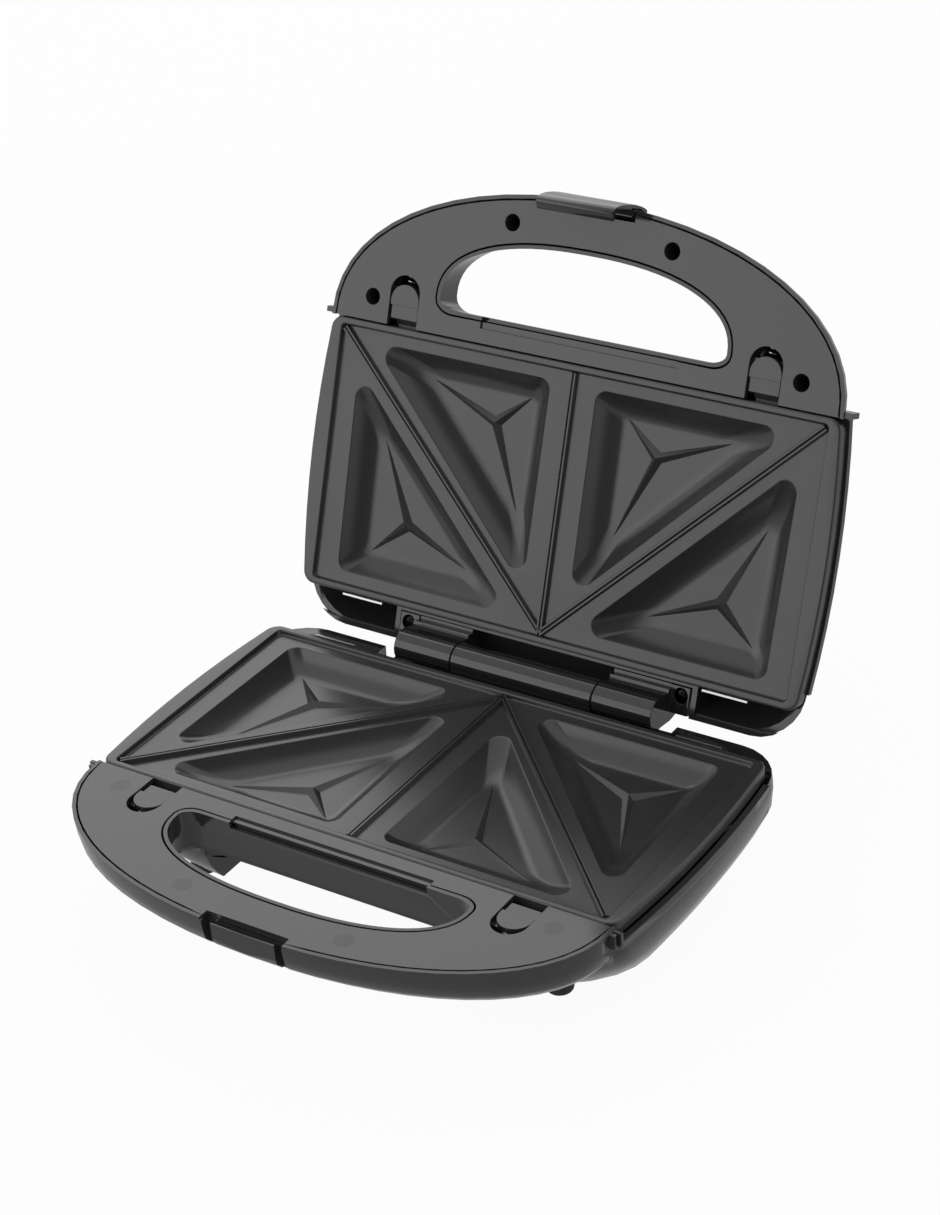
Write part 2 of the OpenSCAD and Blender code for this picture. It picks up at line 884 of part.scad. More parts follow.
module reflector() {
    difference() {
        union() {
            slab(reflector_under, reflector_top - reflector_under,
                rounded(reflector_half, reflector_rear, reflector_front, 10, 14));
            slab(reflector_top - reflector_thick, reflector_thick,
                rounded(reflector_half + 2, reflector_rear - 2, reflector_front + 1.6, 11, 15));
            both_sides()
                plate_hook();
        }
        slab(reflector_floor, reflector_top - reflector_floor + past,
            rounded(reflector_half - reflector_thick, reflector_rear + reflector_thick,
                reflector_front - reflector_thick, 9.4, 13.4));
        at_spots(boss_spots)
            translate([0, 0, reflector_under - past])
                cylinder(h = reflector_thick + 2 * past, r = shaft_hole);
        for (leg = [-1, 1])
            translate([element_end, element_middle + leg * element_span / 2,
                reflector_under - past])
                cylinder(h = reflector_thick + 2 * past, r = element_tube / 2);
    }
}

// Bright strip that catches a plate's rear edge
module plate_hook() {
    hook = [74.5, 94];
    foot_z = skirt_bottom - slide_gap - reflector_thick;
    block(hook, [plate_rear - 1.2, reflector_rear + 0.4], [foot_z, foot_z + reflector_thick]);
    block(hook, [plate_rear - 1.2, plate_rear - 1.2 + reflector_thick], [foot_z, -0.3]);
}

module element() {
    for (leg = [-1, 1]) {
        reach = element_middle + leg * element_span / 2;
        bar_x(element_bend, element_end, reach, element_z, element_tube / 2);
        translate([element_end, reach, element_z - 14])
            cylinder(h = 14, r = 1.6);
        translate([element_end, reach, element_z])
            sphere(r = element_tube / 2);
    }
    translate([element_bend, element_middle, element_z])
        rotate([0, 0, 90])
            rotate_extrude(angle = 180)
                translate([element_span / 2, 0])
                    circle(r = element_tube / 2);
}

// Spring clips that carry the element on the tray's floor
module element_clips() {
    for (x = clip_spots)
        for (leg = [-1, 1]) {
            reach = element_middle + leg * element_span / 2;
            half = element_tube / 2 + 0.8;
            difference() {
                union() {
                    block([x - 4, x + 4], [reach - half, reach + half],
                        [reflector_floor, element_z + 1.8]);
                    block([x - 4, x + 4], [reach - half - 3, reach + half + 3],
                        [reflector_floor, reflector_floor + 0.8]);
                }
                bar_x(x - 4 - past, x + 4 + past, reach, element_z, element_tube / 2 + 0.02);
            }
        }
}

// Round snap-action thermostat under the tray
module thermostat() {
    translate([20, element_middle, reflector_under]) {
        translate([0, 0, -7])
            cylinder(h = 7, r = 8);
        block([-12, 12], [-4, 4], [-0.8, 0]);
        for (side = [-1, 1])
            block([side * 4 - 1.5, side * 4 + 1.5], [-2.4, -1.6], [-11, -7]);
    }
}

module lower_reflector() {
    color("#b9babb")
        in_base()
            reflector();
}

module upper_reflector() {
    color("#b9babb")
        in_lid()
            reflector();
}

module lower_element() {
    color("#6c6a66")
        in_base()
            element();
}

module upper_element() {
    color("#6c6a66")
        in_lid()
            element();
}

module lower_element_clips() {
    color("#a8a9aa")
        in_base()
            element_clips();
}

module upper_element_clips() {
    color("#a8a9aa")
        in_lid()
            element_clips();
}

module lower_thermostat() {
    color("#8c7a5c")
        in_base()
            thermostat();
}

module upper_thermostat() {
    color("#8c7a5c")
        in_lid()
            thermostat();
}

// Cut-out fuse strapped under the lower tray
module thermal_fuse() {
    color("#d8d2c2")
        in_base()
            translate([0, element_middle, reflector_under]) {
                bar_x(fuse_x - 3 * fuse_radius, fuse_x + 3 * fuse_radius, 0, -fuse_drop, fuse_radius);
                bar_x(fuse_x - 8 * fuse_radius, fuse_x + 8 * fuse_radius, 0, -fuse_drop,
                    fuse_radius / 4);
                block([fuse_x - strap_half, fuse_x + strap_half], [-5, 5], [-0.8, 0]);
                block([fuse_x - strap_half, fuse_x + strap_half],
                    [-fuse_radius - 0.6, fuse_radius + 0.6], [-2 * fuse_drop, -0.4]);
            }
}

// Three-way block that the mains leads end in
module terminal_block() {
    color("#e4e2da")
        in_base()
            difference() {
                block([block_x - block_half, block_x + block_half],
                    [block_reach - 1.5 * way_pitch, block_reach + 1.5 * way_pitch],
                    [wall - base_depth, wall - base_depth + block_height]);
                for (way = [-1, 0, 1])
                    translate([0, block_reach + way * way_pitch, wall - base_depth]) {
                        bar_x(block_x - block_half - past, block_x + block_half + past,
                            0, block_height / 3, way_radius);
                        for (side = [-1, 1])
                            translate([block_x + side * block_half / 2, 0, block_height / 2])
                                cylinder(h = block_height / 2 + past, r = way_radius);
                    }
            }
}

// ---- Release tabs ----

module release_tab() {
    translate([0, tab_arch, tab_top - tab_thick])
        cylinder(h = tab_thick, r = tab_half);
    block([-tab_half, tab_half], [tab_end, tab_arch], [tab_top - tab_thick, tab_top]);
    block([-tab_half + 1.2, tab_half - 1.2], [tab_arch + 1.4, tab_arch + 2.2],
        [tab_top - 0.5, tab_top + 0.5]);
    block([-flange_half, flange_half], [tab_end + 1, slider_front], [flange_bottom, flange_top]);
    block([-slider_half, slider_half], [tab_end, slider_front], [slider_bottom, flange_bottom + 0.5]);
    block([-nose_half, nose_half], [nose_reach, tab_end + 2], [nose_bottom, nose_top]);
    translate([0, slider_front, spring_z])
        rotate([-90, 0, 0])
            cylinder(h = 2.5, r = peg_radius);
}

// Wire coil between a tab and its stop
module release_spring() {
    run = stop_reach - slider_front - 0.1;
    translate([0, stop_reach, spring_z])
        rotate([90, 0, 0])
            linear_extrude(run, twist = -360 * spring_turns, slices = 10 * spring_turns, $fn = 6)
                translate([spring_radius, 0])
                    circle(r = spring_wire, $fn = 6);
}

module lower_left_release() {
    color("#4a4b4c")
        in_base()
            translate([-tab_offset, 0, 0])
                release_tab();
}

module lower_right_release() {
    color("#4a4b4c")
        in_base()
            translate([tab_offset, 0, 0])
                release_tab();
}

module lower_left_release_spring() {
    color("#9b9c9d")
        in_base()
            translate([-tab_offset, 0, 0])
                release_spring();
}

module lower_right_release_spring() {
    color("#9b9c9d")
        in_base()
            translate([tab_offset, 0, 0])
                release_spring();
}

module upper_left_release() {
    color("#4a4b4c")
        in_lid()
            translate([-tab_offset, 0, 0])
                release_tab();
}

module upper_right_release() {
    color("#4a4b4c")
        in_lid()
            translate([tab_offset, 0, 0])
                release_tab();
}

module upper_left_release_spring() {
    color("#9b9c9d")
        in_lid()
            translate([-tab_offset, 0, 0])
                release_spring();
}

module upper_right_release_spring() {
    color("#9b9c9d")
        in_lid()
            translate([tab_offset, 0, 0])
                release_spring();
}

// ---- Hinge ----

module base_hinge_barrel() {
    half = barrel_width / 2;
    color("#2c2c2d")
        in_base()
            difference() {
                union() {
                    bar_x(-half, half, 0, hinge_z, barrel_radius);
                    along_x(-half, half, [
                        [barrel_radius, hinge_z],
                        [barrel_radius, base_bay_z],
                        [ledge_rear + 0.4, base_bay_z],
                        [-barrel_radius + 0.6, hinge_z - 5],
                        [-barrel_radius, hinge_z]
                    ]);
                }
                bar_x(-half - past, half + past, 0, hinge_z, pin_radius);
                both_sides()
                    translate([barrel_width / 4, 0, base_bay_z - past])
                        cylinder(h = 5 + past, r = shaft_radius);
            }
}

module barrel_screws() {
    color("#a9aaab")
        in_base()
            both_sides()
                translate([barrel_width / 4, 0, base_bay_z - bay_floor]) {
                    cylinder(h = bay_floor + 4.8, r = shaft_radius);
                    translate([0, 0, -head_height])
                        cylinder(h = head_height, r = head_radius);
                }
}

module hinge_pin() {
    color("#a9aaab")
        in_base()
            bar_x(2 - knuckle_end, knuckle_end - 2, 0, hinge_z, pin_radius);
}

// Barrel, arm and screw ear that carry the lid, drawn on the right
module knuckle() {
    difference() {
        union() {
            bar_x(knuckle_start, knuckle_end, 0, lid_axis_z, barrel_radius);
            along_x(knuckle_start, knuckle_end, [
                [barrel_radius, lid_axis_z],
                [lid_bay_reach - 3.8, -2.6],
                [lid_bay_reach - 2.2, -2.6],
                [lid_bay_reach - 2.2, -5.6],
                [lid_bay_reach - 0.4, -5.6],
                [lid_bay_reach - 0.4, lid_bay_z],
                [lid_rear + 0.6, lid_bay_z],
                [-barrel_radius + 2.5, -7],
                [-barrel_radius, lid_axis_z]
            ]);
            block([knuckle_end - past, ear_half], [lid_rear + 0.6, lid_bay_reach - 0.4],
                [lid_bay_z, ear_top]);
        }
        bar_x(knuckle_start - past, knuckle_end - 1.6, 0, lid_axis_z, pin_radius + pin_clearance);
        translate([ear_screw[0], ear_screw[1], lid_bay_z - past])
            cylinder(h = past - lid_bay_z, r = shaft_hole);
        translate([ear_screw[0], ear_screw[1], ear_top - 2.4])
            cylinder(h = 2.4 + past, r = head_radius + 0.3);
    }
}

module right_hinge_knuckle() {
    color("#2c2c2d")
        in_lid()
            knuckle();
}

module left_hinge_knuckle() {
    color("#2c2c2d")
        in_lid()
            mirror([1, 0, 0])
                knuckle();
}

module knuckle_screws() {
    color("#a9aaab")
        in_lid()
            both_sides()
                translate([ear_screw[0], ear_screw[1], ear_top - 2.4]) {
                    cylinder(h = head_height, r = head_radius);
                    translate([0, 0, lid_bay_z - bay_floor + 0.6 - ear_top + 2.4])
                        cylinder(h = ear_top - 2.4 - lid_bay_z + bay_floor - 0.6, r = shaft_radius);
                }
}

// ---- Screws ----

module base_panel_screws() {
    color("#a9aaab")
        in_base()
            at_spots(panel_screw_spots)
                translate([0, 0, joint_z - 2.5]) {
                    cylinder(h = 6.5, r = shaft_radius);
                    translate([0, 0, -head_height])
                        cylinder(h = head_height, r = head_radius);
                }
}

module lid_panel_screws() {
    color("#a9aaab")
        in_lid()
            at_spots(panel_screw_spots)
                translate([0, 0, lid_seat_z]) {
                    cylinder(h = head_height, r = head_radius);
                    translate([0, 0, -4])
                        cylinder(h = 4, r = shaft_radius);
                }
}

module reflector_screws() {
    at_spots(boss_spots)
        translate([0, 0, reflector_floor]) {
            cylinder(h = 1.6, r = head_radius);
            translate([0, 0, -7])
                cylinder(h = 7, r = shaft_radius);
        }
}

module lower_reflector_screws() {
    color("#a9aaab")
        in_base()
            reflector_screws();
}

module upper_reflector_screws() {
    color("#a9aaab")
        in_lid()
            reflector_screws();
}

// ---- Feet ----

module foot(spot) {
    color("#1c1c1c")
        in_base()
            translate([spot[0], spot[1], -base_depth]) {
                cylinder(h = wall + 0.6, r = stem_radius);
                translate([0, 0, -foot_height])
                    cylinder(h = foot_height, r1 = foot_width / 2 - 1, r2 = foot_width / 2);
            }
}

module front_left_foot() {
    foot([-front_foot[0], front_foot[1]]);
}

module front_right_foot() {
    foot(front_foot);
}

module rear_left_foot() {
    foot([-rear_foot[0], rear_foot[1]]);
}

module rear_right_foot() {
    foot(rear_foot);
}

// ---- Latch ----

module latch() {
    cheek = 1.5;
    color("#1e1e1f")
        in_lid()
            difference() {
                union() {
                    block([-latch_half, latch_half], [latch_back, latch_front],
                        [latch_top, latch_hook_z + latch_thick]);
                    block([-latch_half, latch_half], [latch_front - latch_lip, latch_front],
                        [latch_hook_z, latch_hook_z + latch_thick]);
                    both_sides() {
                        block([latch_half - cheek, latch_half], [latch_pin_reach - 0.7, latch_front],
                            [latch_pin_z + 1, latch_hook_z + latch_thick]);
                        bar_x(latch_spring_half + 1.5, latch_half, latch_pin_reach, latch_pin_z,
                            latch_barrel);
                        block([latch_spring_half + 1.5, latch_half],
                            [latch_pin_reach, latch_back + 0.5],
                            [latch_pin_z - latch_barrel, latch_pin_z + latch_barrel]);
                    }
                }
                bar_x(-latch_half - past, latch_half + past, latch_pin_reach, latch_pin_z,
                    latch_pin_radius + pin_clearance);
            }
}

module latch_pin() {
    color("#a9aaab")
        in_lid()
            bar_x(-latch_bay_half - wall, latch_bay_half + wall, latch_pin_reach, latch_pin_z,
                latch_pin_radius);
}

// Torsion spring on the latch pin, one leg on the latch and one on the bay's wall
module latch_spring() {
    coil = 2.05;
    color("#9b9c9d")
        in_lid()
            translate([0, latch_pin_reach, latch_pin_z]) {
                translate([-latch_spring_half, 0, 0])
                    rotate([0, 90, 0])
                        linear_extrude(2 * latch_spring_half, twist = 360 * 6, slices = 60, $fn = 6)
                            translate([0, coil])
                                circle(r = 0.35, $fn = 6);
                translate([latch_spring_half - 0.4, coil, 0])
                    cylinder(h = 6, r = 0.35, $fn = 6);
                translate([0.4 - latch_spring_half, -coil, -4])
                    cylinder(h = 4, r = 0.35, $fn = 6);
            }
}

// ---- Lamps ----

module lamp_holder() {
    color("#d9d7cf")
        in_lid()
            difference() {
                block([-17, 17], [lamp_reach - 6, lamp_reach + 6], [wall - lid_depth, wall - lid_depth + 7]);
                both_sides()
                    translate([lamp_spot, lamp_reach, wall - lid_depth - past])
                        cylinder(h = 6 + past, r = lens_radius + 0.2);
            }
}

module lens(side) {
    in_lid()
        translate([side * lamp_spot, lamp_reach, -lid_depth - 0.7])
            cylinder(h = wall + 2, r = lens_radius);
}

module power_lens() {
    color("#b3261e")
        lens(-1);
}

module ready_lens() {
    color("#3f8f3a")
        lens(1);
}

base_housing();
base_panel();
lower_plate();
lower_reflector();
lower_element();
lower_element_clips();
lower_thermostat();
thermal_fuse();
terminal_block();
lower_left_release();
lower_right_release();
lower_left_release_spring();
lower_right_release_spring();
base_hinge_barrel();
barrel_screws();
hinge_pin();
base_panel_screws();
lower_reflector_screws();
front_left_foot();
front_right_foot();
rear_left_foot();
rear_right_foot();
lid_housing();
lid_panel();
upper_plate();
upper_reflector();
upper_element();
upper_element_clips();
upper_thermostat();
upper_left_release();
upper_right_release();
upper_left_release_spring();
upper_right_release_spring();
left_hinge_knuckle();
right_hinge_knuckle();
knuckle_screws();
lid_panel_screws();
upper_reflector_screws();
latch();
latch_pin();
latch_spring();
lamp_holder();
power_lens();
ready_lens();
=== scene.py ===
import json
import math
import bmesh
import bpy
from mathutils import Matrix, Vector, geometry

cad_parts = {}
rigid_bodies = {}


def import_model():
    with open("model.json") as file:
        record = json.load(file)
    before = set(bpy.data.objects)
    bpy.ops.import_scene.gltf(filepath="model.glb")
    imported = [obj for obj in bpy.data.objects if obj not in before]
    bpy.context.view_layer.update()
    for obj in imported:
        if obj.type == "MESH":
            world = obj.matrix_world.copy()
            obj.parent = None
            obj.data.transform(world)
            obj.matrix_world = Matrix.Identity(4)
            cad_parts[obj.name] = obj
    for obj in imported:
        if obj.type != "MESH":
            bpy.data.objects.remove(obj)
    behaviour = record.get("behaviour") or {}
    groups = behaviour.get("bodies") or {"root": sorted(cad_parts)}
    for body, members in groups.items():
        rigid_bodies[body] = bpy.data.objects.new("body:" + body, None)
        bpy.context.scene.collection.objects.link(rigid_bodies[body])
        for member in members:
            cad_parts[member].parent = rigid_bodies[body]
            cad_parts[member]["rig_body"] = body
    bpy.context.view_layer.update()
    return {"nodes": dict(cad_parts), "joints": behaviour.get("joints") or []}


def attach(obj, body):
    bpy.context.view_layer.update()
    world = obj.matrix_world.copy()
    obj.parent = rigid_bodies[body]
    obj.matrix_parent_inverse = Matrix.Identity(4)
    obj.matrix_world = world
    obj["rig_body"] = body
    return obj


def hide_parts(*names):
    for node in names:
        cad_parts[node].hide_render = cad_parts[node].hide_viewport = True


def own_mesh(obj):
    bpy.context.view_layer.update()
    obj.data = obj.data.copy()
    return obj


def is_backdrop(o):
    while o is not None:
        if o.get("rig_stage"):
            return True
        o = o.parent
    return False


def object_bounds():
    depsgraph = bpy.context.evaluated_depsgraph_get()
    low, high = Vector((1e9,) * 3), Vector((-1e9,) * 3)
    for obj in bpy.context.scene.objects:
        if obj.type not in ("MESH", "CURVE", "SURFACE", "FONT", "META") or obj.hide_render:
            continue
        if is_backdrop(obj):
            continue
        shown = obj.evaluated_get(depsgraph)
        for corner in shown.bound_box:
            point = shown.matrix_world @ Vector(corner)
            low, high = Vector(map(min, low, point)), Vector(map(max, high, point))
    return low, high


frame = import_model()
nodes = frame["nodes"]


# ---- Camera ----
# A three-quarter view from the front right, a little above the open lid,
# with a long lens so that the two halves keep their shape.
film, focal_rows, frame_rows = 36.0, 2827.5, 1215.0
camera_place = (0.54059, -0.71997, 0.63703)
heading, look_down, roll = 36.193, 30.579, -5.547
camera_data = bpy.data.cameras.new("camera")
camera_data.sensor_width = film
camera_data.lens = film * focal_rows / frame_rows
camera_data.clip_start, camera_data.clip_end = 0.05, 20.0
camera = bpy.data.objects.new("camera", camera_data)
bpy.context.scene.collection.objects.link(camera)
camera.matrix_world = (
    Matrix.Translation(camera_place)
    @ Matrix.Rotation(math.radians(heading), 4, "Z")
    @ Matrix.Rotation(math.radians(90.0 - look_down), 4, "X")
    @ Matrix.Rotation(math.radians(roll), 4, "Z"))
bpy.context.scene.camera = camera
bpy.context.scene.view_settings.view_transform = "Standard"


# ---- Studio ----
# A white table in a white room whose wall behind the camera is dark, with a wide
# soft box at the front left and another high behind the hinge.
def linear(code):
    """A hex colour as linear light."""
    parts = [int(code[i:i + 2], 16) / 255 for i in (1, 3, 5)]
    parts = [p / 12.92 if p <= 0.04045 else ((p + 0.055) / 1.055) ** 2.4 for p in parts]
    return (*parts, 1.0)


def put(tree, kind, inputs=(), **settings):
    """Adds a node with its settings; an input takes a value or another node's output."""
    made = tree.nodes.new(kind)
    for key, value in settings.items():
        setattr(made, key, value)
    for key, value in dict(inputs).items():
        if isinstance(value, bpy.types.NodeSocket):
            tree.links.new(value, made.inputs[key])
        else:
            made.inputs[key].default_value = value
    return made


# The camera sees plain white; the room lights things at a lower level, and what
# the plastics mirror darkens smoothly towards the wall behind the camera
behind_camera, room_light, dark_wall = (0.356, -0.814, 0.458), 0.62, 0.1
world = bpy.data.worlds.new("white room")
world.use_nodes = True
bpy.context.scene.world = world
room = world.node_tree
room.nodes.clear()
path = put(room, "ShaderNodeLightPath")
toward = put(room, "ShaderNodeTexCoord")
side = put(room, "ShaderNodeVectorMath", {0: toward.outputs["Generated"], 1: behind_camera},
           operation="DOT_PRODUCT")
shade = put(room, "ShaderNodeMapRange",
            {"Value": side.outputs["Value"], "From Min": 0.6, "From Max": 0.86, "To Min": 1.0,
             "To Max": dark_wall}, interpolation_type="SMOOTHSTEP")
mirrored = put(room, "ShaderNodeMix", {"Factor": path.outputs["Is Glossy Ray"], "A": room_light,
                                       "B": shade.outputs[0]}, data_type="FLOAT")
plain = put(room, "ShaderNodeMath",
            {0: path.outputs["Is Camera Ray"], 1: path.outputs["Is Transmission Ray"]},
            operation="MAXIMUM")
level = put(room, "ShaderNodeMix", {"Factor": plain.outputs[0], "A": mirrored.outputs[0], "B": 1.0},
            data_type="FLOAT")
glow = put(room, "ShaderNodeBackground", {"Color": (1, 1, 1, 1), "Strength": level.outputs[0]})
put(room, "ShaderNodeOutputWorld", {"Surface": glow.outputs[0]})


def soft_box(name, place, aim, width, height, watts):
    """A rectangular lamp that faces a point."""
    lamp = bpy.data.lights.new(name, "AREA")
    lamp.shape, lamp.size, lamp.size_y, lamp.energy = "RECTANGLE", width, height, watts
    holder = bpy.data.objects.new(name, lamp)
    bpy.context.scene.collection.objects.link(holder)
    holder.location = place
    holder.rotation_euler = (Vector(aim) - Vector(place)).to_track_quat("-Z", "Y").to_euler()


soft_box("front_soft_box", (-0.85, -1.15, 0.62), (0, 0, 0.15), 1.5, 1.1, 5.2)
soft_box("rear_soft_box", (-0.75, 1.0, 1.0), (0, 0, 0.05), 1.2, 1.2, 4.4)


def new_finish(name):
    """A new material and its node tree, emptied."""
    finish = bpy.data.materials.new(name)
    finish.use_nodes = True
    finish.node_tree.nodes.clear()
    return finish, finish.node_tree


# The table is a sheet of paper: pure white to the camera, greyer where the
# plastics mirror it, and matt in a small share, so that it takes a soft shadow
table_half, mirrored_level, bright_share = 6, 0.55, 0.95
corners = [(x * table_half, y * table_half, 0) for x, y in ((-1, -1), (1, -1), (1, 1), (-1, 1))]
table = bpy.data.meshes.new("table")
table.from_pydata(corners, [], [(0, 1, 2, 3)])
table_top = bpy.data.objects.new("table", table)
bpy.context.scene.collection.objects.link(table_top)
table_top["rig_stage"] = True
paper, tree = new_finish("white paper")
path = put(tree, "ShaderNodeLightPath")
direct = put(tree, "ShaderNodeMath",
             {0: path.outputs["Is Camera Ray"], 1: path.outputs["Is Transmission Ray"]},
             operation="MAXIMUM")
seen = put(tree, "ShaderNodeMath", {0: direct.outputs[0], 1: path.outputs["Is Glossy Ray"]},
           operation="MAXIMUM")
matt = put(tree, "ShaderNodeBsdfDiffuse", {"Color": linear("#f2f2f2")})
strength = put(tree, "ShaderNodeMix", {"Factor": direct.outputs[0], "A": mirrored_level, "B": 1.0},
               data_type="FLOAT")
white = put(tree, "ShaderNodeEmission", {"Color": (1, 1, 1, 1), "Strength": strength.outputs[0]})
share = put(tree, "ShaderNodeMath", {0: seen.outputs[0], 1: bright_share}, operation="MULTIPLY")
blend = put(tree, "ShaderNodeMixShader",
            {0: share.outputs[0], 1: matt.outputs[0], 2: white.outputs[0]})
put(tree, "ShaderNodeOutputMaterial", {"Surface": blend.outputs[0]})
table.materials.append(paper)


# ---- Shells ----
# The base and the lid are one injection moulding each, in black heat-resistant
# polyamide, deep trays with a rim that the plate and the handle panel sit in.
hinge = next(joint for joint in frame["joints"] if joint["name"] == "lid_hinge")
hinge_y, hinge_z = hinge["pos_m"][1] * 1000, hinge["pos_m"][2] * 1000
lid_open = math.radians(hinge["range_deg"][1])
mating_z, closed_gap = 48.0, 0.6


def seat(point, half):
    """A half's point, given as x, reach from the hinge and height over the mating face in mm."""
    x, reach, z = point
    if half == "base":
        return Vector((x, hinge_y - reach, mating_z + z)) / 1000
    lift = closed_gap + mating_z - hinge_z - z
    c, s = math.cos(lid_open), math.sin(lid_open)
    return Vector((x, hinge_y - reach * c + lift * s, hinge_z + reach * s + lift * c)) / 1000


def drawn_along_x(mesh, profile, low, high, end_inset=0.0):
    """A closed bar with a profile of reach and height, whose ends may shrink a little."""
    end_shrink = 0.4 * end_inset
    middle = sum((Vector(p) for p in profile), Vector((0, 0))) / len(profile)
    places = ((low, 0), (high, 0))
    if end_inset:
        places = ((low, end_shrink), (low + end_inset, 0),
                  (high - end_inset, 0), (high, end_shrink))
    rows = []
    for x, shrink in places:
        ring = [Vector(p) + (middle - Vector(p)).normalized() * shrink for p in profile]
        rows.append([mesh.verts.new((x, *p)) for p in ring])
    made = [mesh.faces.new(rows[0]), mesh.faces.new(rows[-1][::-1])]
    for a, b in zip(rows, rows[1:]):
        for k in range(len(profile)):
            n = (k + 1) % len(profile)
            made.append(mesh.faces.new((a[n], a[k], b[k], b[n])))
    return made


# The finger scoop below the base's hand hole: a sloping wall and a cheek at each
# end, which close the shell
scoop_half, scoop_gauge = 66.4, 2.0
scoop_wall = [(127.6, -23.85), (100.9, -43), (98.9, -41.4), (125.8, -21.9)]
scoop_cheek = [(127.6, -23.6), (127.1, -27.9), (103.8, -42.95), (100.9, -42.95)]


def close_scoop(mesh):
    """Adds the scoop's wall and cheeks to the base."""
    wall_half, outer_half = scoop_half + scoop_gauge / 2, scoop_half + scoop_gauge
    made = drawn_along_x(mesh, scoop_wall, -wall_half, wall_half)
    for low, high in ((scoop_half, outer_half), (-outer_half, -scoop_half)):
        made += drawn_along_x(mesh, scoop_cheek, low, high)
    for vertex in {v for face in made for v in face.verts}:
        vertex.co = seat(vertex.co, "base")
    bmesh.ops.recalc_face_normals(mesh, faces=made)


def mesh_data(mesh, name, finish):
    """Turns an edited mesh into mesh data with one finish."""
    data = bpy.data.meshes.new(name)
    mesh.to_mesh(data)
    mesh.free()
    data.materials.clear()
    data.materials.append(finish)
    for face in data.polygons:
        face.material_index = 0
    return data


def stand(data, node, smooth):
    """Makes a node's piece from mesh data: smooth faces, and edges sharp from an angle on."""
    for face in data.polygons:
        face.use_smooth = True
    data.set_sharp_from_angle(angle=math.radians(smooth))
    piece = bpy.data.objects.new(node + "_piece", data)
    bpy.context.scene.collection.objects.link(piece)
    return piece


def dress(node, finish, rounding=0.0, smooth=32.0, change=None):
    """Stands a cleaned copy of a CAD node in its place, with rounded edges and smooth faces."""
    weld, flat_angle, round_from = 2e-6, 0.3, 30
    mesh = bmesh.new()
    mesh.from_mesh(nodes[node].data)
    bmesh.ops.remove_doubles(mesh, verts=mesh.verts, dist=weld)
    bmesh.ops.dissolve_limit(mesh, angle_limit=math.radians(flat_angle), verts=mesh.verts,
                             edges=mesh.edges)
    if change:
        change(mesh)
    piece = stand(mesh_data(mesh, node + "_moulded", finish), node, smooth)
    if rounding:
        edge = piece.modifiers.new("rounding", "BEVEL")
        edge.width, edge.segments, edge.limit_method = rounding / 1000, 2, "ANGLE"
        edge.angle_limit = math.radians(round_from)
        weights = piece.modifiers.new("weights", "WEIGHTED_NORMAL")
        weights.keep_sharp = True
    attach(piece, nodes[node]["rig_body"])
    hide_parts(node)


def mottled(tree, scale, detail, dark, light):
    """The object's own space, a soft noise in it and the tone that wanders with the noise."""
    place = put(tree, "ShaderNodeTexCoord")
    noise = put(tree, "ShaderNodeTexNoise",
                {"Vector": place.outputs["Object"], "Scale": scale, "Detail": detail})
    tone = put(tree, "ShaderNodeMix",
               {"Factor": noise.outputs[0], "A": linear(dark), "B": linear(light)},
               data_type="RGBA")
    return place, noise, tone


# Polyamide from a polished tool: near black, with a gloss that mirrors the
# room, and the slow ripple of a wide moulded wall.
shell_polyamide, tree = new_finish("polished moulded polyamide")
place, flow, tone = mottled(tree, 35.0, 3.0, "#29292a", "#2d2d2e")
sheen = put(tree, "ShaderNodeMapRange", {"Value": flow.outputs[0], "To Min": 0.09, "To Max": 0.15})
ripple = put(tree, "ShaderNodeTexNoise",
             {"Vector": place.outputs["Object"], "Scale": 90.0, "Detail": 1.0})
bump = put(tree, "ShaderNodeBump",
           {"Height": ripple.outputs[0], "Strength": 0.03, "Distance": 0.0008})
surface = put(tree, "ShaderNodeBsdfPrincipled",
              {"Base Color": tone.outputs["Result"], "Roughness": sheen.outputs[0], "IOR": 1.53,
               "Normal": bump.outputs[0]})
put(tree, "ShaderNodeOutputMaterial", {"Surface": surface.outputs[0]})
dress("base_housing", shell_polyamide, smooth=30.0, change=close_scoop)
dress("lid_housing", shell_polyamide, smooth=30.0)


# ---- Handle panels ----
# Flat polyamide mouldings that close the two handles, let into the shells'
# rims with a fine gap; the base's is held by screws from below, the lid's by
# screws in four wells.
panel_spots = [(35.6, 174.1), (96.4, 135.2)]
panel_gap, tab_x = 0.45, 81.2
flange_half, flange_reach, flange_z = 43.5, (132.6, 133.55), (-4.2, -1.9)


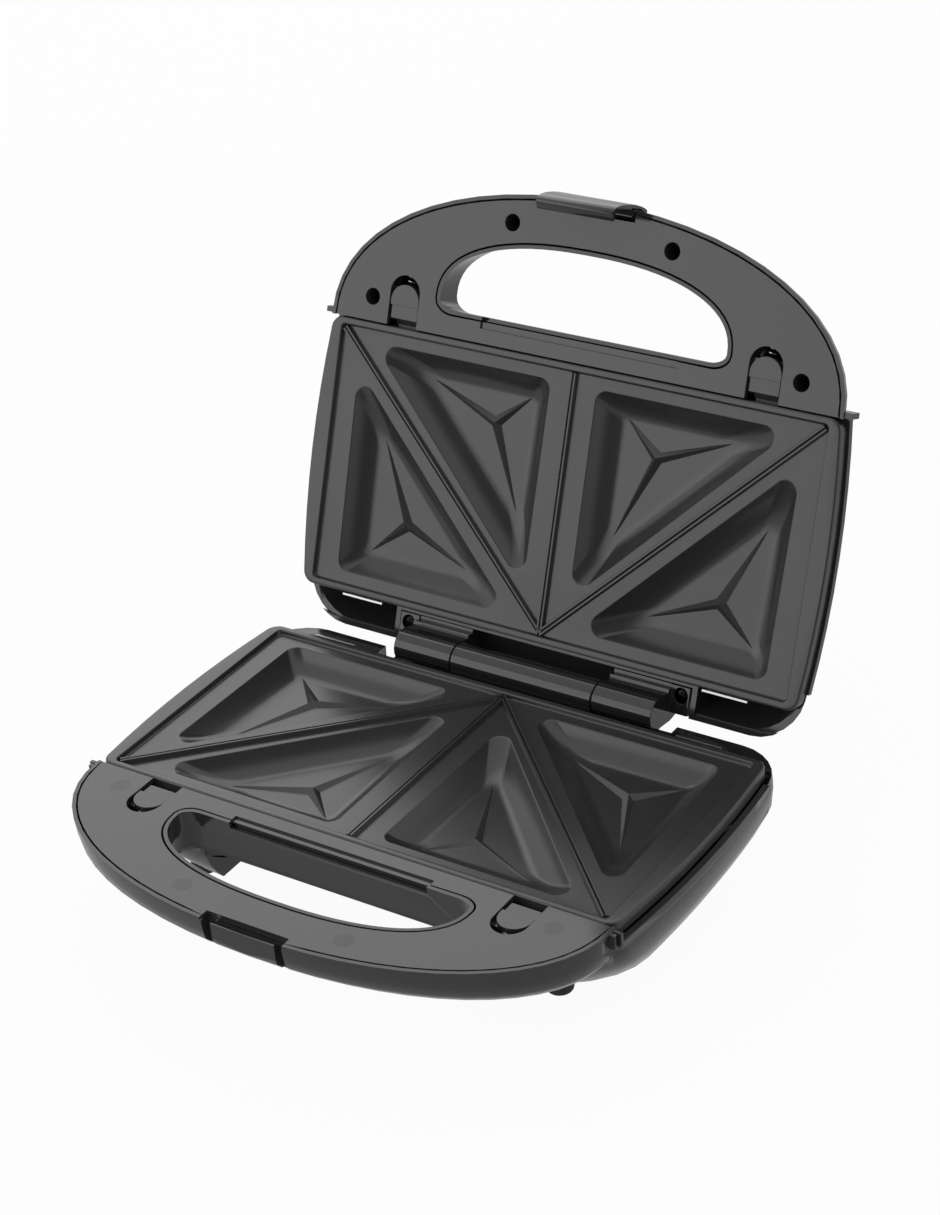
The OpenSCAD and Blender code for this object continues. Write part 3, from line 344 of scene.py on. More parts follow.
def loosened(mesh, half):
    """Draws a panel's edges back from the shell's rim, except by its screws, tabs and latch."""
    rim_depth, rim_rear, upright = -2.05, 126, 0.2
    screw_room, tab_room, tab_front, latch_half, latch_rear = 5.4, 8, 148, 20, 174
    origin = seat((0, 0, 0), half)
    forward = (seat((0, 1, 0), half) - origin).normalized()
    upward = (seat((0, 0, 1), half) - origin).normalized()
    mesh.normal_update()
    moves = []
    for vertex in mesh.verts:
        x = abs(vertex.co.x) * 1000
        reach, z = (forward.dot(vertex.co - origin) * 1000, upward.dot(vertex.co - origin) * 1000)
        by_screw = min(math.hypot(x - sx, reach - sy) for sx, sy in panel_spots) < screw_room
        by_tab = abs(x - tab_x) < tab_room and reach < tab_front
        by_latch = x < latch_half and reach > latch_rear
        if z < rim_depth or reach < rim_rear or by_screw or by_tab or by_latch:
            continue
        away = sum((f.normal for f in vertex.link_faces if abs(f.normal.dot(upward)) < upright),
                   Vector())
        if away.length > 0.1:
            moves.append((vertex, away.normalized() * panel_gap / 1000))
    for vertex, move in moves:
        vertex.co -= move
    # The flange that hangs from the step along the hand hole
    flange = [mesh.verts.new(seat((x, reach, z), half)) for x in (-flange_half, flange_half)
              for reach in flange_reach for z in flange_z]
    sides = [mesh.faces.new([flange[k] for k in ring]) for ring in (
        (0, 1, 3, 2), (4, 6, 7, 5), (0, 4, 5, 1), (2, 3, 7, 6), (0, 2, 6, 4), (1, 5, 7, 3))]
    bmesh.ops.recalc_face_normals(mesh, faces=sides)


# Satin moulded polyamide: smooth enough to mirror the open lid, with a trace of
# the tool's spark-eroded grain, drawn at 0.45 mm so that it shows.
panel_polyamide, tree = new_finish("satin moulded polyamide")
_, grain, tone = mottled(tree, 2200.0, 2.0, "#2e2e2f", "#333334")
bump = put(tree, "ShaderNodeBump",
           {"Height": grain.outputs[0], "Strength": 0.03, "Distance": 0.0002})
surface = put(tree, "ShaderNodeBsdfPrincipled", {
    "Base Color": tone.outputs["Result"], "Roughness": 0.1, "IOR": 1.55, "Normal": bump.outputs[0]})
put(tree, "ShaderNodeOutputMaterial", {"Surface": surface.outputs[0]})
dress("lid_panel", panel_polyamide, rounding=0.3,
      change=lambda mesh: loosened(mesh, "lid"))

# The base's panel has solid posts under it for its screws; over them four round spots 8 mm wide are
# painted near black on the face, painted shade that stands for dark screw wells.
# Where the painted shade sits: the centres of the two spots on the right half, and the soft edge of
# each disc
near_shade_spot, far_shade_spot, shade_spot_edge = (0.0356, -0.12159, 0), (0.0964, -0.08269, 0), (0.0034, 0.0042)
polyamide_with_painted_shade = panel_polyamide.copy()
polyamide_with_painted_shade.name = "satin moulded polyamide with sink marks"
tree = polyamide_with_painted_shade.node_tree
surface = next(n for n in tree.nodes if n.type == "BSDF_PRINCIPLED")
place = next(n for n in tree.nodes if n.type == "TEX_COORD")
axes = put(tree, "ShaderNodeSeparateXYZ", {0: place.outputs["Object"]})
mirrored_x = put(tree, "ShaderNodeMath", {0: axes.outputs[0]}, operation="ABSOLUTE")
spot = put(tree, "ShaderNodeCombineXYZ", {0: mirrored_x.outputs[0], 1: axes.outputs[1]})
near = put(tree, "ShaderNodeVectorMath", {0: spot.outputs[0], 1: near_shade_spot}, operation="DISTANCE")
far = put(tree, "ShaderNodeVectorMath", {0: spot.outputs[0], 1: far_shade_spot}, operation="DISTANCE")
closest = put(tree, "ShaderNodeMath", {0: near.outputs["Value"], 1: far.outputs["Value"]},
              operation="MINIMUM")
painted_shade = put(tree, "ShaderNodeMapRange",
           {"Value": closest.outputs[0], "From Min": shade_spot_edge[0], "From Max": shade_spot_edge[1],
            "To Min": 1.0, "To Max": 0.0}, interpolation_type="SMOOTHSTEP")
# Painted shade: inside each disc the panel's tone goes to near black
old_tone = surface.inputs["Base Color"].links[0].from_socket
shaded_tone = put(tree, "ShaderNodeMix",
           {"Factor": painted_shade.outputs[0], "A": old_tone, "B": linear("#0c0c0d")}, data_type="RGBA")
tree.links.new(shaded_tone.outputs["Result"], surface.inputs["Base Color"])
dress("base_panel", polyamide_with_painted_shade, rounding=0.3,
      change=lambda mesh: loosened(mesh, "base"))


# ---- Pressed plates ----
# Two aluminium sheets 1.5 mm thick, pressed into four coved pockets with a star
# on each floor, beads between them and a turned-down skirt, then sprayed with a
# dark non-stick coating; they hang on rear hooks and the tabs' noses.
cook_half, cook_rear, cook_front, cook_z = 110.0, 16.3, 122.2, -2.0
plate_rear, plate_front, plate_corner, sheet_gauge = 13.5, 124.9, 4.5, 1.5
side_half, side_bulge, side_middle, side_run, side_gap = 122.0, 3.5, 70.0, 56.0, 4.2
pocket_depth, pocket_corner, cove_width, cove_steps = 7.5, 4.8, 10.8, 12
# Each pocket's corners, the hub of its star and the tips of its arms, for the right half of a plate
pockets = [([(94.4, 116.6), (10.6, 116.6), (11, 34)], (36.8, 94.6),
            [(73.5, 108.3), (20, 108.8), (20.9, 57)]),
           ([(100.4, 104.6), (99, 21.8), (15.8, 21.8)], (72.5, 45),
            [(89.6, 81), (90, 29.8), (36.4, 30.8)])]
# How far in from a pocket's edge the sheet has sunk by a share of the depth: a tight
# bend at the rim, then a cove that runs out on the floor
cove = [(-0.45, 0), (-0.2, 0.012), (0, 0.04)]
cove += [(cove_width * k / cove_steps, 0.04 + 0.96 * (1 - (1 - k / cove_steps) ** 2.1))
         for k in range(1, cove_steps + 1)]


def inner_triangle(corners, inset):
    """The triangle's corners after each side has moved in."""
    p = [Vector(c) for c in corners]
    sides = [(p[1] - p[2]).length, (p[2] - p[0]).length, (p[0] - p[1]).length]
    centre = sum((s * c for s, c in zip(sides, p)), Vector((0, 0))) / sum(sides)
    half = sum(sides) / 2
    radius = math.sqrt((half - sides[0]) * (half - sides[1]) * (half - sides[2]) / half)
    return [centre + (c - centre) * (1 - inset / radius) for c in p]


def rounded_triangle(corners, inset, radius, steps=9):
    """Its outline with round corners, as a ring of points."""
    middle = inner_triangle(corners, inset + radius)
    ring = []
    for i in range(3):
        before, here, after = middle[i - 1], middle[i], middle[(i + 1) % 3]
        into, out = (here - before).normalized(), (after - here).normalized()
        turn = 1 if into.cross(out) > 0 else -1
        start = math.atan2(-into.x * turn, into.y * turn)
        sweep = math.acos(max(-1, min(1, into.dot(out)))) * turn
        for k in range(steps + 1):
            angle = start + sweep * k / steps
            ring.append(here + Vector((math.cos(angle), math.sin(angle))) * radius)
    return ring if turn > 0 else ring[::-1]


def rounded_box(half, rear, front, radius, steps=5):
    """A level box's outline with round corners, as a ring of points."""
    ring = []
    corners = ((half, front, 0), (-half, front, 90), (-half, rear, 180), (half, rear, 270))
    for x, y, start in corners:
        cx, cy = x - math.copysign(radius, x), y - (radius if y == front else -radius)
        for k in range(steps + 1):
            a = math.radians(start + 90 * k / steps)
            ring.append(Vector((cx + radius * math.cos(a), cy + radius * math.sin(a))))
    return ring


def plate_outline(inset, steps=6, side_steps=8):
    """The plate's edge, which follows the slightly bulged sides of the shells."""
    rear, front, radius = plate_rear + inset, plate_front - inset, plate_corner
    quarter = [math.radians(90 * k / steps) for k in range(steps + 1)]
    right = [(radius * (1 - math.cos(a)), rear + radius * (1 + math.sin(a)))
             for a in (math.radians(90 * k / steps - 90) for k in range(steps + 1))]
    straight = front - rear - 2 * radius
    right += [(0, rear + radius + straight * k / side_steps) for k in range(1, side_steps)]
    right += [(radius * (1 - math.cos(a)), front - radius * (1 - math.sin(a))) for a in quarter]
    ring = []
    for back, at in right:
        side = side_half - side_bulge * ((at - side_middle) / side_run) ** 2
        ring.append(Vector((side - side_gap - inset - back, at)))
    return ring + [Vector((-p.x, p.y)) for p in reversed(ring)]


def inside(point, ring):
    """Whether a point lies within a ring."""
    hit = False
    for a, b in zip(ring, ring[1:] + ring[:1]):
        if (a.y > point.y) != (b.y > point.y):
            hit ^= point.x < a.x + (b.x - a.x) * (point.y - a.y) / (b.y - a.y)
    return hit


def flat_face(mesh, outline, holes, z):
    """Fills the level area between an outline and its holes with triangles."""
    points, edges = [], []
    for ring in [outline] + holes:
        first = len(points)
        points += [v.copy() for v in ring]
        edges += [(first + k, first + (k + 1) % len(ring)) for k in range(len(ring))]
    spots, _, faces, _, _, _ = geometry.delaunay_2d_cdt(points, edges, [], 1, 1e-5)
    made = [mesh.verts.new((p.x, p.y, z)) for p in spots]
    for face in faces:
        middle = sum((spots[k] for k in face), Vector((0, 0))) / len(face)
        if inside(middle, outline) and not any(inside(middle, h) for h in holes):
            mesh.faces.new([made[k] for k in face])


def wall(mesh, rings):
    """Joins rings of points, each an outline and its height, with rows of faces."""
    rows = [[mesh.verts.new((p.x, p.y, z)) for p in ring] for ring, z in rings]
    for a, b in zip(rows, rows[1:]):
        for k in range(len(a)):
            n = (k + 1) % len(a)
            mesh.faces.new((a[k], a[n], b[n], b[k]))


def pressed_sheet():
    """One side of the sheet, its top face, with the normals up."""
    tightening, cook_corner, skirt_foot, weld = 0.12, 1.9, -5, 1e-4
    mesh = bmesh.new()
    rims = []
    for corners, _, _ in pockets:
        for side in (1, -1):
            own = [(side * x, y) for x, y in corners]
            rings = [(rounded_triangle(own, inset, pocket_corner - tightening * max(inset, 0)),
                      cook_z - pocket_depth * share) for inset, share in cove]
            wall(mesh, rings)
            flat_face(mesh, rings[-1][0], [], rings[-1][1])
            rims.append(rings[0][0])
    step = [(rounded_box(cook_half - d, cook_rear + d, cook_front - d, cook_corner), z)
            for d, z in ((0.9, cook_z), (0.55, cook_z + 0.12), (0.35, cook_z + 0.4),
                         (0.1, -0.4), (-0.1, -0.12), (-0.4, 0))]
    wall(mesh, step)
    flat_face(mesh, step[0][0], rims, cook_z)
    skirt = ((0.8, 0), (0.4, -0.1), (0.12, -0.4), (0, -0.8), (0, skirt_foot))
    edge = [(plate_outline(d), z) for d, z in skirt]
    flat_face(mesh, edge[0][0], [step[-1][0]], 0)
    wall(mesh, edge)
    bmesh.ops.remove_doubles(mesh, verts=mesh.verts, dist=weld)
    # Faces look up, and the upright ones away from a point under the plate's middle
    below, level = Vector((0, 69, -40)), 1e-4
    for face in mesh.faces:
        face.normal_update()
        up = face.normal.z
        if abs(up) <= level:
            up = face.normal.dot(face.calc_center_median() - below)
        if up < 0:
            face.normal_flip()
    return mesh


def add_star(mesh, hub, tips, side):
    """A low pyramid on three tapering arms that run from the hub towards the pocket's corners."""
    arm_stretch, waist, height, shaded_tone = 1.05, 2.7, 1.9, 0.1
    hub = Vector((side * hub[0], hub[1]))
    tips = [hub + (Vector((side * x, y)) - hub) * arm_stretch for x, y in tips]
    ring = []
    for i in range(3):
        away = (tips[(i + 2) % 3] - hub).normalized()
        ring += [tips[i], hub - away * waist]
    floor = cook_z - pocket_depth
    top = mesh.verts.new((hub.x, hub.y, floor + height))
    foot = [mesh.verts.new((p.x, p.y, floor - shaded_tone)) for p in ring]
    made = [mesh.faces.new((foot[k], foot[(k + 1) % 6], top)) for k in range(6)]
    made.append(mesh.faces.new(foot[::-1]))
    bmesh.ops.recalc_face_normals(mesh, faces=made)


def add_tongue(mesh, side):
    """The bent tongue under the front skirt that the tab's nose catches."""
    low, high, near, far = -6.3, -4.9, 76.6, 85.8
    profile = [(123.2, -3.6), (124.6, -3.6), (124.6, -4.6), (124.7, high), (126.7, high),
               (127, high - 0.3), (127, low + 0.3), (126.7, low), (124, low), (123.2, low + 0.8)]
    made = drawn_along_x(mesh, profile, side * near, side * far)
    bmesh.ops.recalc_face_normals(mesh, faces=made)


def new_group(name, inputs):
    """A Geometry Nodes tree, its named inputs' identifiers and the node that gives them."""
    tree = bpy.data.node_groups.new(name, "GeometryNodeTree")
    tree.interface.new_socket("Geometry", in_out="OUTPUT", socket_type="NodeSocketGeometry")
    keys = {}
    for label, kind in inputs.items():
        socket = tree.interface.new_socket(label, in_out="INPUT", socket_type="NodeSocket" + kind)
        keys[label] = socket.identifier
    return tree, keys, put(tree, "NodeGroupInput")


def end_group(tree, shape, finish):
    """Ends a tree: its shape becomes real geometry in one material."""
    real = put(tree, "GeometryNodeRealizeInstances", {0: shape.outputs[0]})
    finished = put(tree, "GeometryNodeSetMaterial",
                   {"Geometry": real.outputs[0], "Material": finish})
    put(tree, "NodeGroupOutput", {0: finished.outputs[0]})


def made_mesh(maker):
    """The mesh that a maker's modifiers give; the maker is removed."""
    finished = maker.evaluated_get(bpy.context.evaluated_depsgraph_get())
    made = bpy.data.meshes.new_from_object(finished)
    bpy.data.objects.remove(maker)
    return made


# Geometry Nodes: a bead is one profile drawn along each line of a path
bead_inputs = {"Lines": "Geometry", "Profile": "Object", "Width": "Float", "Height": "Float",
               "Coating": "Material"}
bead_tree, bead_in, given = new_group("bead along a line", bead_inputs)
lines = put(bead_tree, "GeometryNodeMeshToCurve", {"Mesh": given.outputs["Lines"]})
section = put(bead_tree, "GeometryNodeObjectInfo", {"Object": given.outputs["Profile"]})
outline = put(bead_tree, "GeometryNodeMeshToCurve", {"Mesh": section.outputs["Geometry"]})
size = put(bead_tree, "ShaderNodeCombineXYZ",
           {0: given.outputs["Width"], 1: given.outputs["Height"], 2: 1.0})
sized = put(bead_tree, "GeometryNodeTransform",
            {"Geometry": outline.outputs[0], "Scale": size.outputs[0]})
drawn = put(bead_tree, "GeometryNodeCurveToMesh",
            {"Curve": lines.outputs[0], "Profile Curve": sized.outputs[0], "Fill Caps": True})
end_group(bead_tree, drawn, given.outputs["Coating"])

# Sprayed fluoropolymer on aluminium: charcoal, smooth to the finger and softly
# glossy, with a fine fleck of mineral filler drawn at 0.5 mm.
coating, tree = new_finish("sprayed non-stick coating on aluminium")
place, fleck, tone = mottled(tree, 2000.0, 2.0, "#2d2d2e", "#363637")
flow = put(tree, "ShaderNodeTexNoise",
           {"Vector": place.outputs["Object"], "Scale": 60.0, "Detail": 2.0})
sheen = put(tree, "ShaderNodeMapRange", {"Value": flow.outputs[0], "To Min": 0.2, "To Max": 0.28})
bump = put(tree, "ShaderNodeBump",
           {"Height": fleck.outputs[0], "Strength": 0.04, "Distance": 0.0002})
surface = put(tree, "ShaderNodeBsdfPrincipled",
              {"Base Color": tone.outputs["Result"], "Roughness": sheen.outputs[0], "IOR": 1.55,
               "Normal": bump.outputs[0]})
put(tree, "ShaderNodeOutputMaterial", {"Surface": surface.outputs[0]})

bead_width, bead_height = 3.3, 1.6
bead_start, bead_ends = (0, 17.6), [(108.4, 120.7), (-108.4, 120.7), (0, 121.4)]
bead_paths = bpy.data.meshes.new("bead_paths")
bead_paths.from_pydata([(x, y, cook_z) for x, y in [bead_start] + bead_ends],
                       [(0, 1), (0, 2), (0, 3)], [])
# Two flat-topped ridges with a narrow groove between them, in shares of the width and the height
half_section = [(0.5, 0), (0.36, 0.9), (0.33, 1), (0.13, 1), (0.1, 0.93), (0, 0.5)]
bead_section = bpy.data.meshes.new("bead_section")
around = half_section + [(-x, z) for x, z in reversed(half_section[:-1])]
bead_section.from_pydata([(x, -z, 0) for x, z in around],
                         [(k, (k + 1) % len(around)) for k in range(len(around))], [])
bead_profile = bpy.data.objects.new("bead_profile", bead_section)
bead_maker = bpy.data.objects.new("bead_maker", bead_paths)
for shown in (bead_profile, bead_maker):
    bpy.context.scene.collection.objects.link(shown)
drawing = bead_maker.modifiers.new("beads", "NODES")
drawing.node_group = bead_tree
for label, value in (("Profile", bead_profile), ("Width", bead_width), ("Height", bead_height),
                     ("Coating", coating)):
    drawing[bead_in[label]] = value
beads = made_mesh(bead_maker)
bpy.data.objects.remove(bead_profile)

for half, node in (("base", "lower_plate"), ("lid", "upper_plate")):
    sheet = pressed_sheet()
    top = bpy.data.meshes.new(node + "_sheet")
    sheet.to_mesh(top)
    sheet.free()
    pressed = bpy.data.objects.new(node + "_sheet", top)
    bpy.context.scene.collection.objects.link(pressed)
    gauge = pressed.modifiers.new("gauge", "SOLIDIFY")
    gauge.thickness, gauge.offset, gauge.use_even_offset = sheet_gauge, -1.0, True
    mesh = bmesh.new()
    mesh.from_mesh(beads)
    bmesh.ops.recalc_face_normals(mesh, faces=mesh.faces)
    mesh.from_mesh(made_mesh(pressed))
    for side in (1, -1):
        for _, hub, tips in pockets:
            add_star(mesh, hub, tips, side)
        add_tongue(mesh, side)
    for vertex in mesh.verts:
        vertex.co = seat(vertex.co, half)
    if half == "base":
        bmesh.ops.reverse_faces(mesh, faces=mesh.faces)
    plate = stand(mesh_data(mesh, node + "_pressed", coating), node, smooth=38)
    weights = plate.modifiers.new("weights", "WEIGHTED_NORMAL")
    weights.keep_sharp = True
    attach(plate, half)
    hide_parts(node)


# ---- Release tabs ----
# Four small polyamide sliders that run in the panels' arched slots: a half-round
# pad for the finger, a lower stem, and a slider with a nose that holds the plate
# until the tab is pushed back against its spring.
tab_half, pad_arch, pad_rear, arch_steps = 6.75, 135.5, 133.6, 28
arch_turns = [math.pi * k / arch_steps for k in range(arch_steps + 1)]
pad_outline = [(tab_half * math.cos(a), pad_arch + tab_half * math.sin(a)) for a in arch_turns]
pad_outline += [(-tab_half, pad_rear), (tab_half, pad_rear)]


def solid_bar(mesh, outline, low, high, edge=0.25, knee=0.3):
    """A closed slab whose top edge is rounded in two steps."""
    middle = sum((Vector(p) for p in outline), Vector((0, 0))) / len(outline)
    half = max((Vector(p) - middle).length for p in outline)
    rows = []
    for z, inset in ((low, 0), (high - edge, 0), (high - knee * edge, knee * edge), (high, edge)):
        ring = [middle + (Vector(p) - middle) * (1 - inset / half) for p in outline]
        rows.append([mesh.verts.new((*p, z)) for p in ring])
    mesh.faces.new(rows[0][::-1])
    mesh.faces.new(rows[-1])
    for a, b in zip(rows, rows[1:]):
        for k in range(len(outline)):
            n = (k + 1) % len(outline)
            mesh.faces.new((a[k], a[n], b[n], b[k]))


def box_outline(half, rear, front):
    """A level box's outline."""
    return [(half, front), (-half, front), (-half, rear), (half, rear)]


# The pad, its stem, the slider and the spring's block, each with its lowest and highest z
tab_slabs = [(pad_outline, -3.0, -0.42),
             (box_outline(tab_half - 0.35, 128.2, pad_rear + 0.2), -3.0, -1.15),
             (box_outline(9.5, 129, 141), -4.2, -2.3),
             (box_outline(5.5, 128, 141), -7.0, -3.9)]
# The nose, with a lead-in slope for the plate's tongue
nose_half, nose = 5, [(125.7, -4.6), (125.7, -4.35), (128.4, -3.15), (130, -3.15), (130, -4.6)]

for node, side, half in (("lower_left_release", -1, "base"), ("lower_right_release", 1, "base"),
                         ("upper_left_release", -1, "lid"), ("upper_right_release", 1, "lid")):
    mesh = bmesh.new()
    for outline, low, high in tab_slabs:
        solid_bar(mesh, outline, low, high)
    drawn_along_x(mesh, nose, -nose_half, nose_half)
    for vertex in mesh.verts:
        vertex.co = seat((side * tab_x + vertex.co.x, vertex.co.y, vertex.co.z), half)
    bmesh.ops.recalc_face_normals(mesh, faces=mesh.faces)
    piece = stand(mesh_data(mesh, node + "_moulded", panel_polyamide), node, smooth=15)
    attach(piece, nodes[node]["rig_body"])
    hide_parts(node)


# ---- Hinge ----
# The base's long barrel and the lid's two knuckles, moulded in the shells'
# polyamide and screwed on, turn on one steel pin.
# Polyamide straight from a mirror-finished tool: the room shows in it as
# crisp bands along the barrels.
hinge_polyamide, tree = new_finish("mirror-finished moulded polyamide")
_, _, tone = mottled(tree, 60.0, 2.0, "#242425", "#29292a")
surface = put(tree, "ShaderNodeBsdfPrincipled", {
    "Base Color": tone.outputs["Result"], "Roughness": 0.05, "IOR": 1.55})
put(tree, "ShaderNodeOutputMaterial", {"Surface": surface.outputs[0]})
for node in ("base_hinge_barrel", "left_hinge_knuckle", "right_hinge_knuckle"):
    dress(node, hinge_polyamide, rounding=0.35)


# ---- Latch ----
# One moulded hook that turns on a pin in the lid's handle: an arched plate with
# a turned-in lip, carried by a short barrel near each end.
outer_face = [(186.6, -10.5), (187.5, -8.5), (188.2, -5.5), (188.7, -2), (188.9, 2), (188.9, 5),
              (188.8, 8), (188.5, 10.5), (188.1, 12.5), (187.6, 14), (186.9, 15.1), (186.2, 15.7),
              (185.5, 15.9)]
inner_face = [(184.9, 15.75), (183.4, 15), (182.7, 14.5), (182.5, 14.2), (182.7, 14),
              (183.4, 13.95), (185.2, 13.95), (185.9, 13.7), (186.35, 13), (186.5, 12), (186.75, 8),
              (186.9, 2), (186.85, -2), (186.5, -5.5), (185.9, -8), (185.3, -9.8), (185.6, -10.4)]
cheek = [(187.6, 2), (186.4, 2.2), (185.2, 0.6), (183.4, -2.6), (182.1, -4.4), (181.65, -6),
         (182.2, -7.8), (184.2, -8.6), (186, -8.4), (187.4, -5)]
web = [(185.9, -8.2), (187, -8), (187.6, -5.5), (187.4, -3.4), (185.9, -3.8)]
latch_half, cheek_inner, barrel_near, barrel_far = 17, 15.5, 6, 15.6
pin_reach, pin_z, pin_bore, barrel_radius, barrel_sides = 184.2, -6, 1.3, 2.6, 32

mesh = bmesh.new()
drawn_along_x(mesh, outer_face + inner_face, -latch_half, latch_half, 0.4)
for low, high in ((cheek_inner, latch_half), (-latch_half, -cheek_inner)):
    drawn_along_x(mesh, cheek, low, high, 0.3)
for low, high in ((barrel_near, barrel_far), (-barrel_far, -barrel_near)):
    # The barrel, open along its pin, and the web that joins it to the plate
    turns = [math.tau * k / barrel_sides for k in range(barrel_sides)]
    tube = ((low, pin_bore), (low, barrel_radius), (high, barrel_radius), (high, pin_bore))
    rows = [[mesh.verts.new((x, pin_reach + r * math.cos(a), pin_z + r * math.sin(a)))
             for a in turns] for x, r in tube]
    for a, b in zip(rows, rows[1:] + rows[:1]):
        for k in range(barrel_sides):
            n = (k + 1) % barrel_sides
            mesh.faces.new((a[k], a[n], b[n], b[k]))
    drawn_along_x(mesh, web, low, high)
bmesh.ops.recalc_face_normals(mesh, faces=mesh.faces)
for vertex in mesh.verts:
    vertex.co = seat(vertex.co, "lid")
hook = stand(mesh_data(mesh, "latch_hook", shell_polyamide), "latch", smooth=40)
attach(hook, "latch")
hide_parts("latch")


# ---- Screws ----
# Pan-head self-tapping screws with a cross recess, in blackened steel: two in
# the barrel, one in each knuckle's ear, four in each panel and four in each tray.
screw_inputs = {"Places": "Geometry", "Head Radius": "Float", "Head Height": "Float",
                "Shaft Radius": "Float", "Shaft Length": "Float", "Steel": "Material"}
screw_tree, screw_in, given = new_group("cross-recess screw at each point", screw_inputs)
half_height = put(screw_tree, "ShaderNodeMath", {0: given.outputs["Head Height"], 1: 0.5},
                  operation="MULTIPLY")
head_middle = put(screw_tree, "ShaderNodeCombineXYZ", {2: half_height.outputs[0]})
disc = put(screw_tree, "GeometryNodeMeshCylinder", {
    "Vertices": 28, "Radius": given.outputs["Head Radius"], "Depth": given.outputs["Head Height"]})
disc = put(screw_tree, "GeometryNodeTransform", {"Geometry": disc.outputs["Mesh"],
                                                 "Translation": head_middle.outputs[0]})
# The crown is part of a ball that touches the head's top
ball_radius = put(screw_tree, "ShaderNodeMath", {0: given.outputs["Head Radius"], 1: 1.6},
                  operation="MULTIPLY")
ball = put(screw_tree, "GeometryNodeMeshUVSphere", {"Segments": 32, "Rings": 24,
                                                    "Radius": ball_radius.outputs[0]})
ball_drop = put(screw_tree, "ShaderNodeMath",
                {0: given.outputs["Head Height"], 1: ball_radius.outputs[0]}, operation="SUBTRACT")
ball_at = put(screw_tree, "ShaderNodeCombineXYZ", {2: ball_drop.outputs[0]})
ball = put(screw_tree, "GeometryNodeTransform", {"Geometry": ball.outputs["Mesh"],
                                                 "Translation": ball_at.outputs[0]})
crowned = put(screw_tree, "GeometryNodeMeshBoolean", operation="INTERSECT")
for part in (disc, ball):
    screw_tree.links.new(part.outputs[0], crowned.inputs[1])
# The cross recess is two slots, as long as the head's radius and a quarter as wide
slot_long = put(screw_tree, "ShaderNodeMath", {0: given.outputs["Head Radius"], 1: 1.1},
                operation="MULTIPLY")
slot_wide = put(screw_tree, "ShaderNodeMath", {0: given.outputs["Head Radius"], 1: 0.26},
                operation="MULTIPLY")
slot_deep = put(screw_tree, "ShaderNodeMath", {0: given.outputs["Head Height"], 1: 1.3},
                operation="MULTIPLY")
slot_at = put(screw_tree, "ShaderNodeCombineXYZ", {2: given.outputs["Head Height"]})
recessed = put(screw_tree, "GeometryNodeMeshBoolean", {0: crowned.outputs["Mesh"]},
               operation="DIFFERENCE")
for first, second in ((slot_long, slot_wide), (slot_wide, slot_long)):
    span = put(screw_tree, "ShaderNodeCombineXYZ", {0: first.outputs[0], 1: second.outputs[0],
                                                    2: slot_deep.outputs[0]})
    bar = put(screw_tree, "GeometryNodeMeshCube", {"Size": span.outputs[0]})
    bar = put(screw_tree, "GeometryNodeTransform", {"Geometry": bar.outputs["Mesh"],
                                                    "Translation": slot_at.outputs[0]})
    screw_tree.links.new(bar.outputs[0], recessed.inputs[1])
shaft = put(screw_tree, "GeometryNodeMeshCylinder",
            {"Vertices": 20, "Radius": given.outputs["Shaft Radius"],
             "Depth": given.outputs["Shaft Length"]})
shaft_drop = put(screw_tree, "ShaderNodeMath", {0: given.outputs["Shaft Length"], 1: -0.5},
                 operation="MULTIPLY")
shaft_at = put(screw_tree, "ShaderNodeCombineXYZ", {2: shaft_drop.outputs[0]})
shaft = put(screw_tree, "GeometryNodeTransform", {"Geometry": shaft.outputs["Mesh"],
                                                  "Translation": shaft_at.outputs[0]})
whole = put(screw_tree, "GeometryNodeJoinGeometry")
for part in (recessed, shaft):
    screw_tree.links.new(part.outputs[0], whole.inputs[0])


def end_at_points(tree, given, shape):
    """Ends a tree: its shape stands at each point, turned to the point's axis."""
    axis = put(tree, "GeometryNodeInputNamedAttribute", {"Name": "axis"}, data_type="FLOAT_VECTOR")
    turned = put(tree, "FunctionNodeAlignRotationToVector", {"Vector": axis.outputs["Attribute"]},
                 axis="Z")
    placed = put(tree, "GeometryNodeInstanceOnPoints",
                 {"Points": given.outputs["Places"], "Instance": shape.outputs[0],
                  "Rotation": turned.outputs[0]})
    end_group(tree, placed, given.outputs["Steel"])


end_at_points(screw_tree, given, whole)

# Black oxide on steel: a thin dark skin that still shines through, oily and
# faintly mottled.
black_oxide, tree = new_finish("black oxide on steel")
_, mottle, tone = mottled(tree, 900.0, 3.0, "#1d1d1f", "#333336")
sheen = put(tree, "ShaderNodeMapRange",
            {"Value": mottle.outputs[0], "To Min": 0.25, "To Max": 0.42})
surface = put(tree, "ShaderNodeBsdfPrincipled", {
    "Base Color": tone.outputs["Result"], "Roughness": sheen.outputs[0], "Metallic": 1.0})
put(tree, "ShaderNodeOutputMaterial", {"Surface": surface.outputs[0]})


def made_at_points(name, tree, settings, spots, half):
    """The tree's shape at each spot, given as a place and a direction in a half's own frame."""
    origin = seat((0, 0, 0), half)
    data = bpy.data.meshes.new(name + "_spots")
    data.from_pydata([seat(spot, half) for spot, _ in spots], [], [])
    heading = data.attributes.new("axis", "FLOAT_VECTOR", "POINT")
    for k, (_, way) in enumerate(spots):
        heading.data[k].vector = (seat(way, half) - origin).normalized()
    maker = bpy.data.objects.new(name + "_maker", data)
    bpy.context.scene.collection.objects.link(maker)
    drawing = maker.modifiers.new("nodes", "NODES")
    drawing.node_group = tree
    for key, value in settings.items():
        drawing[key] = value
    made = made_mesh(maker)
    made.name = name
    return stand(made, name, smooth=35)


tray_spots = [(82, 32), (82, 104)]
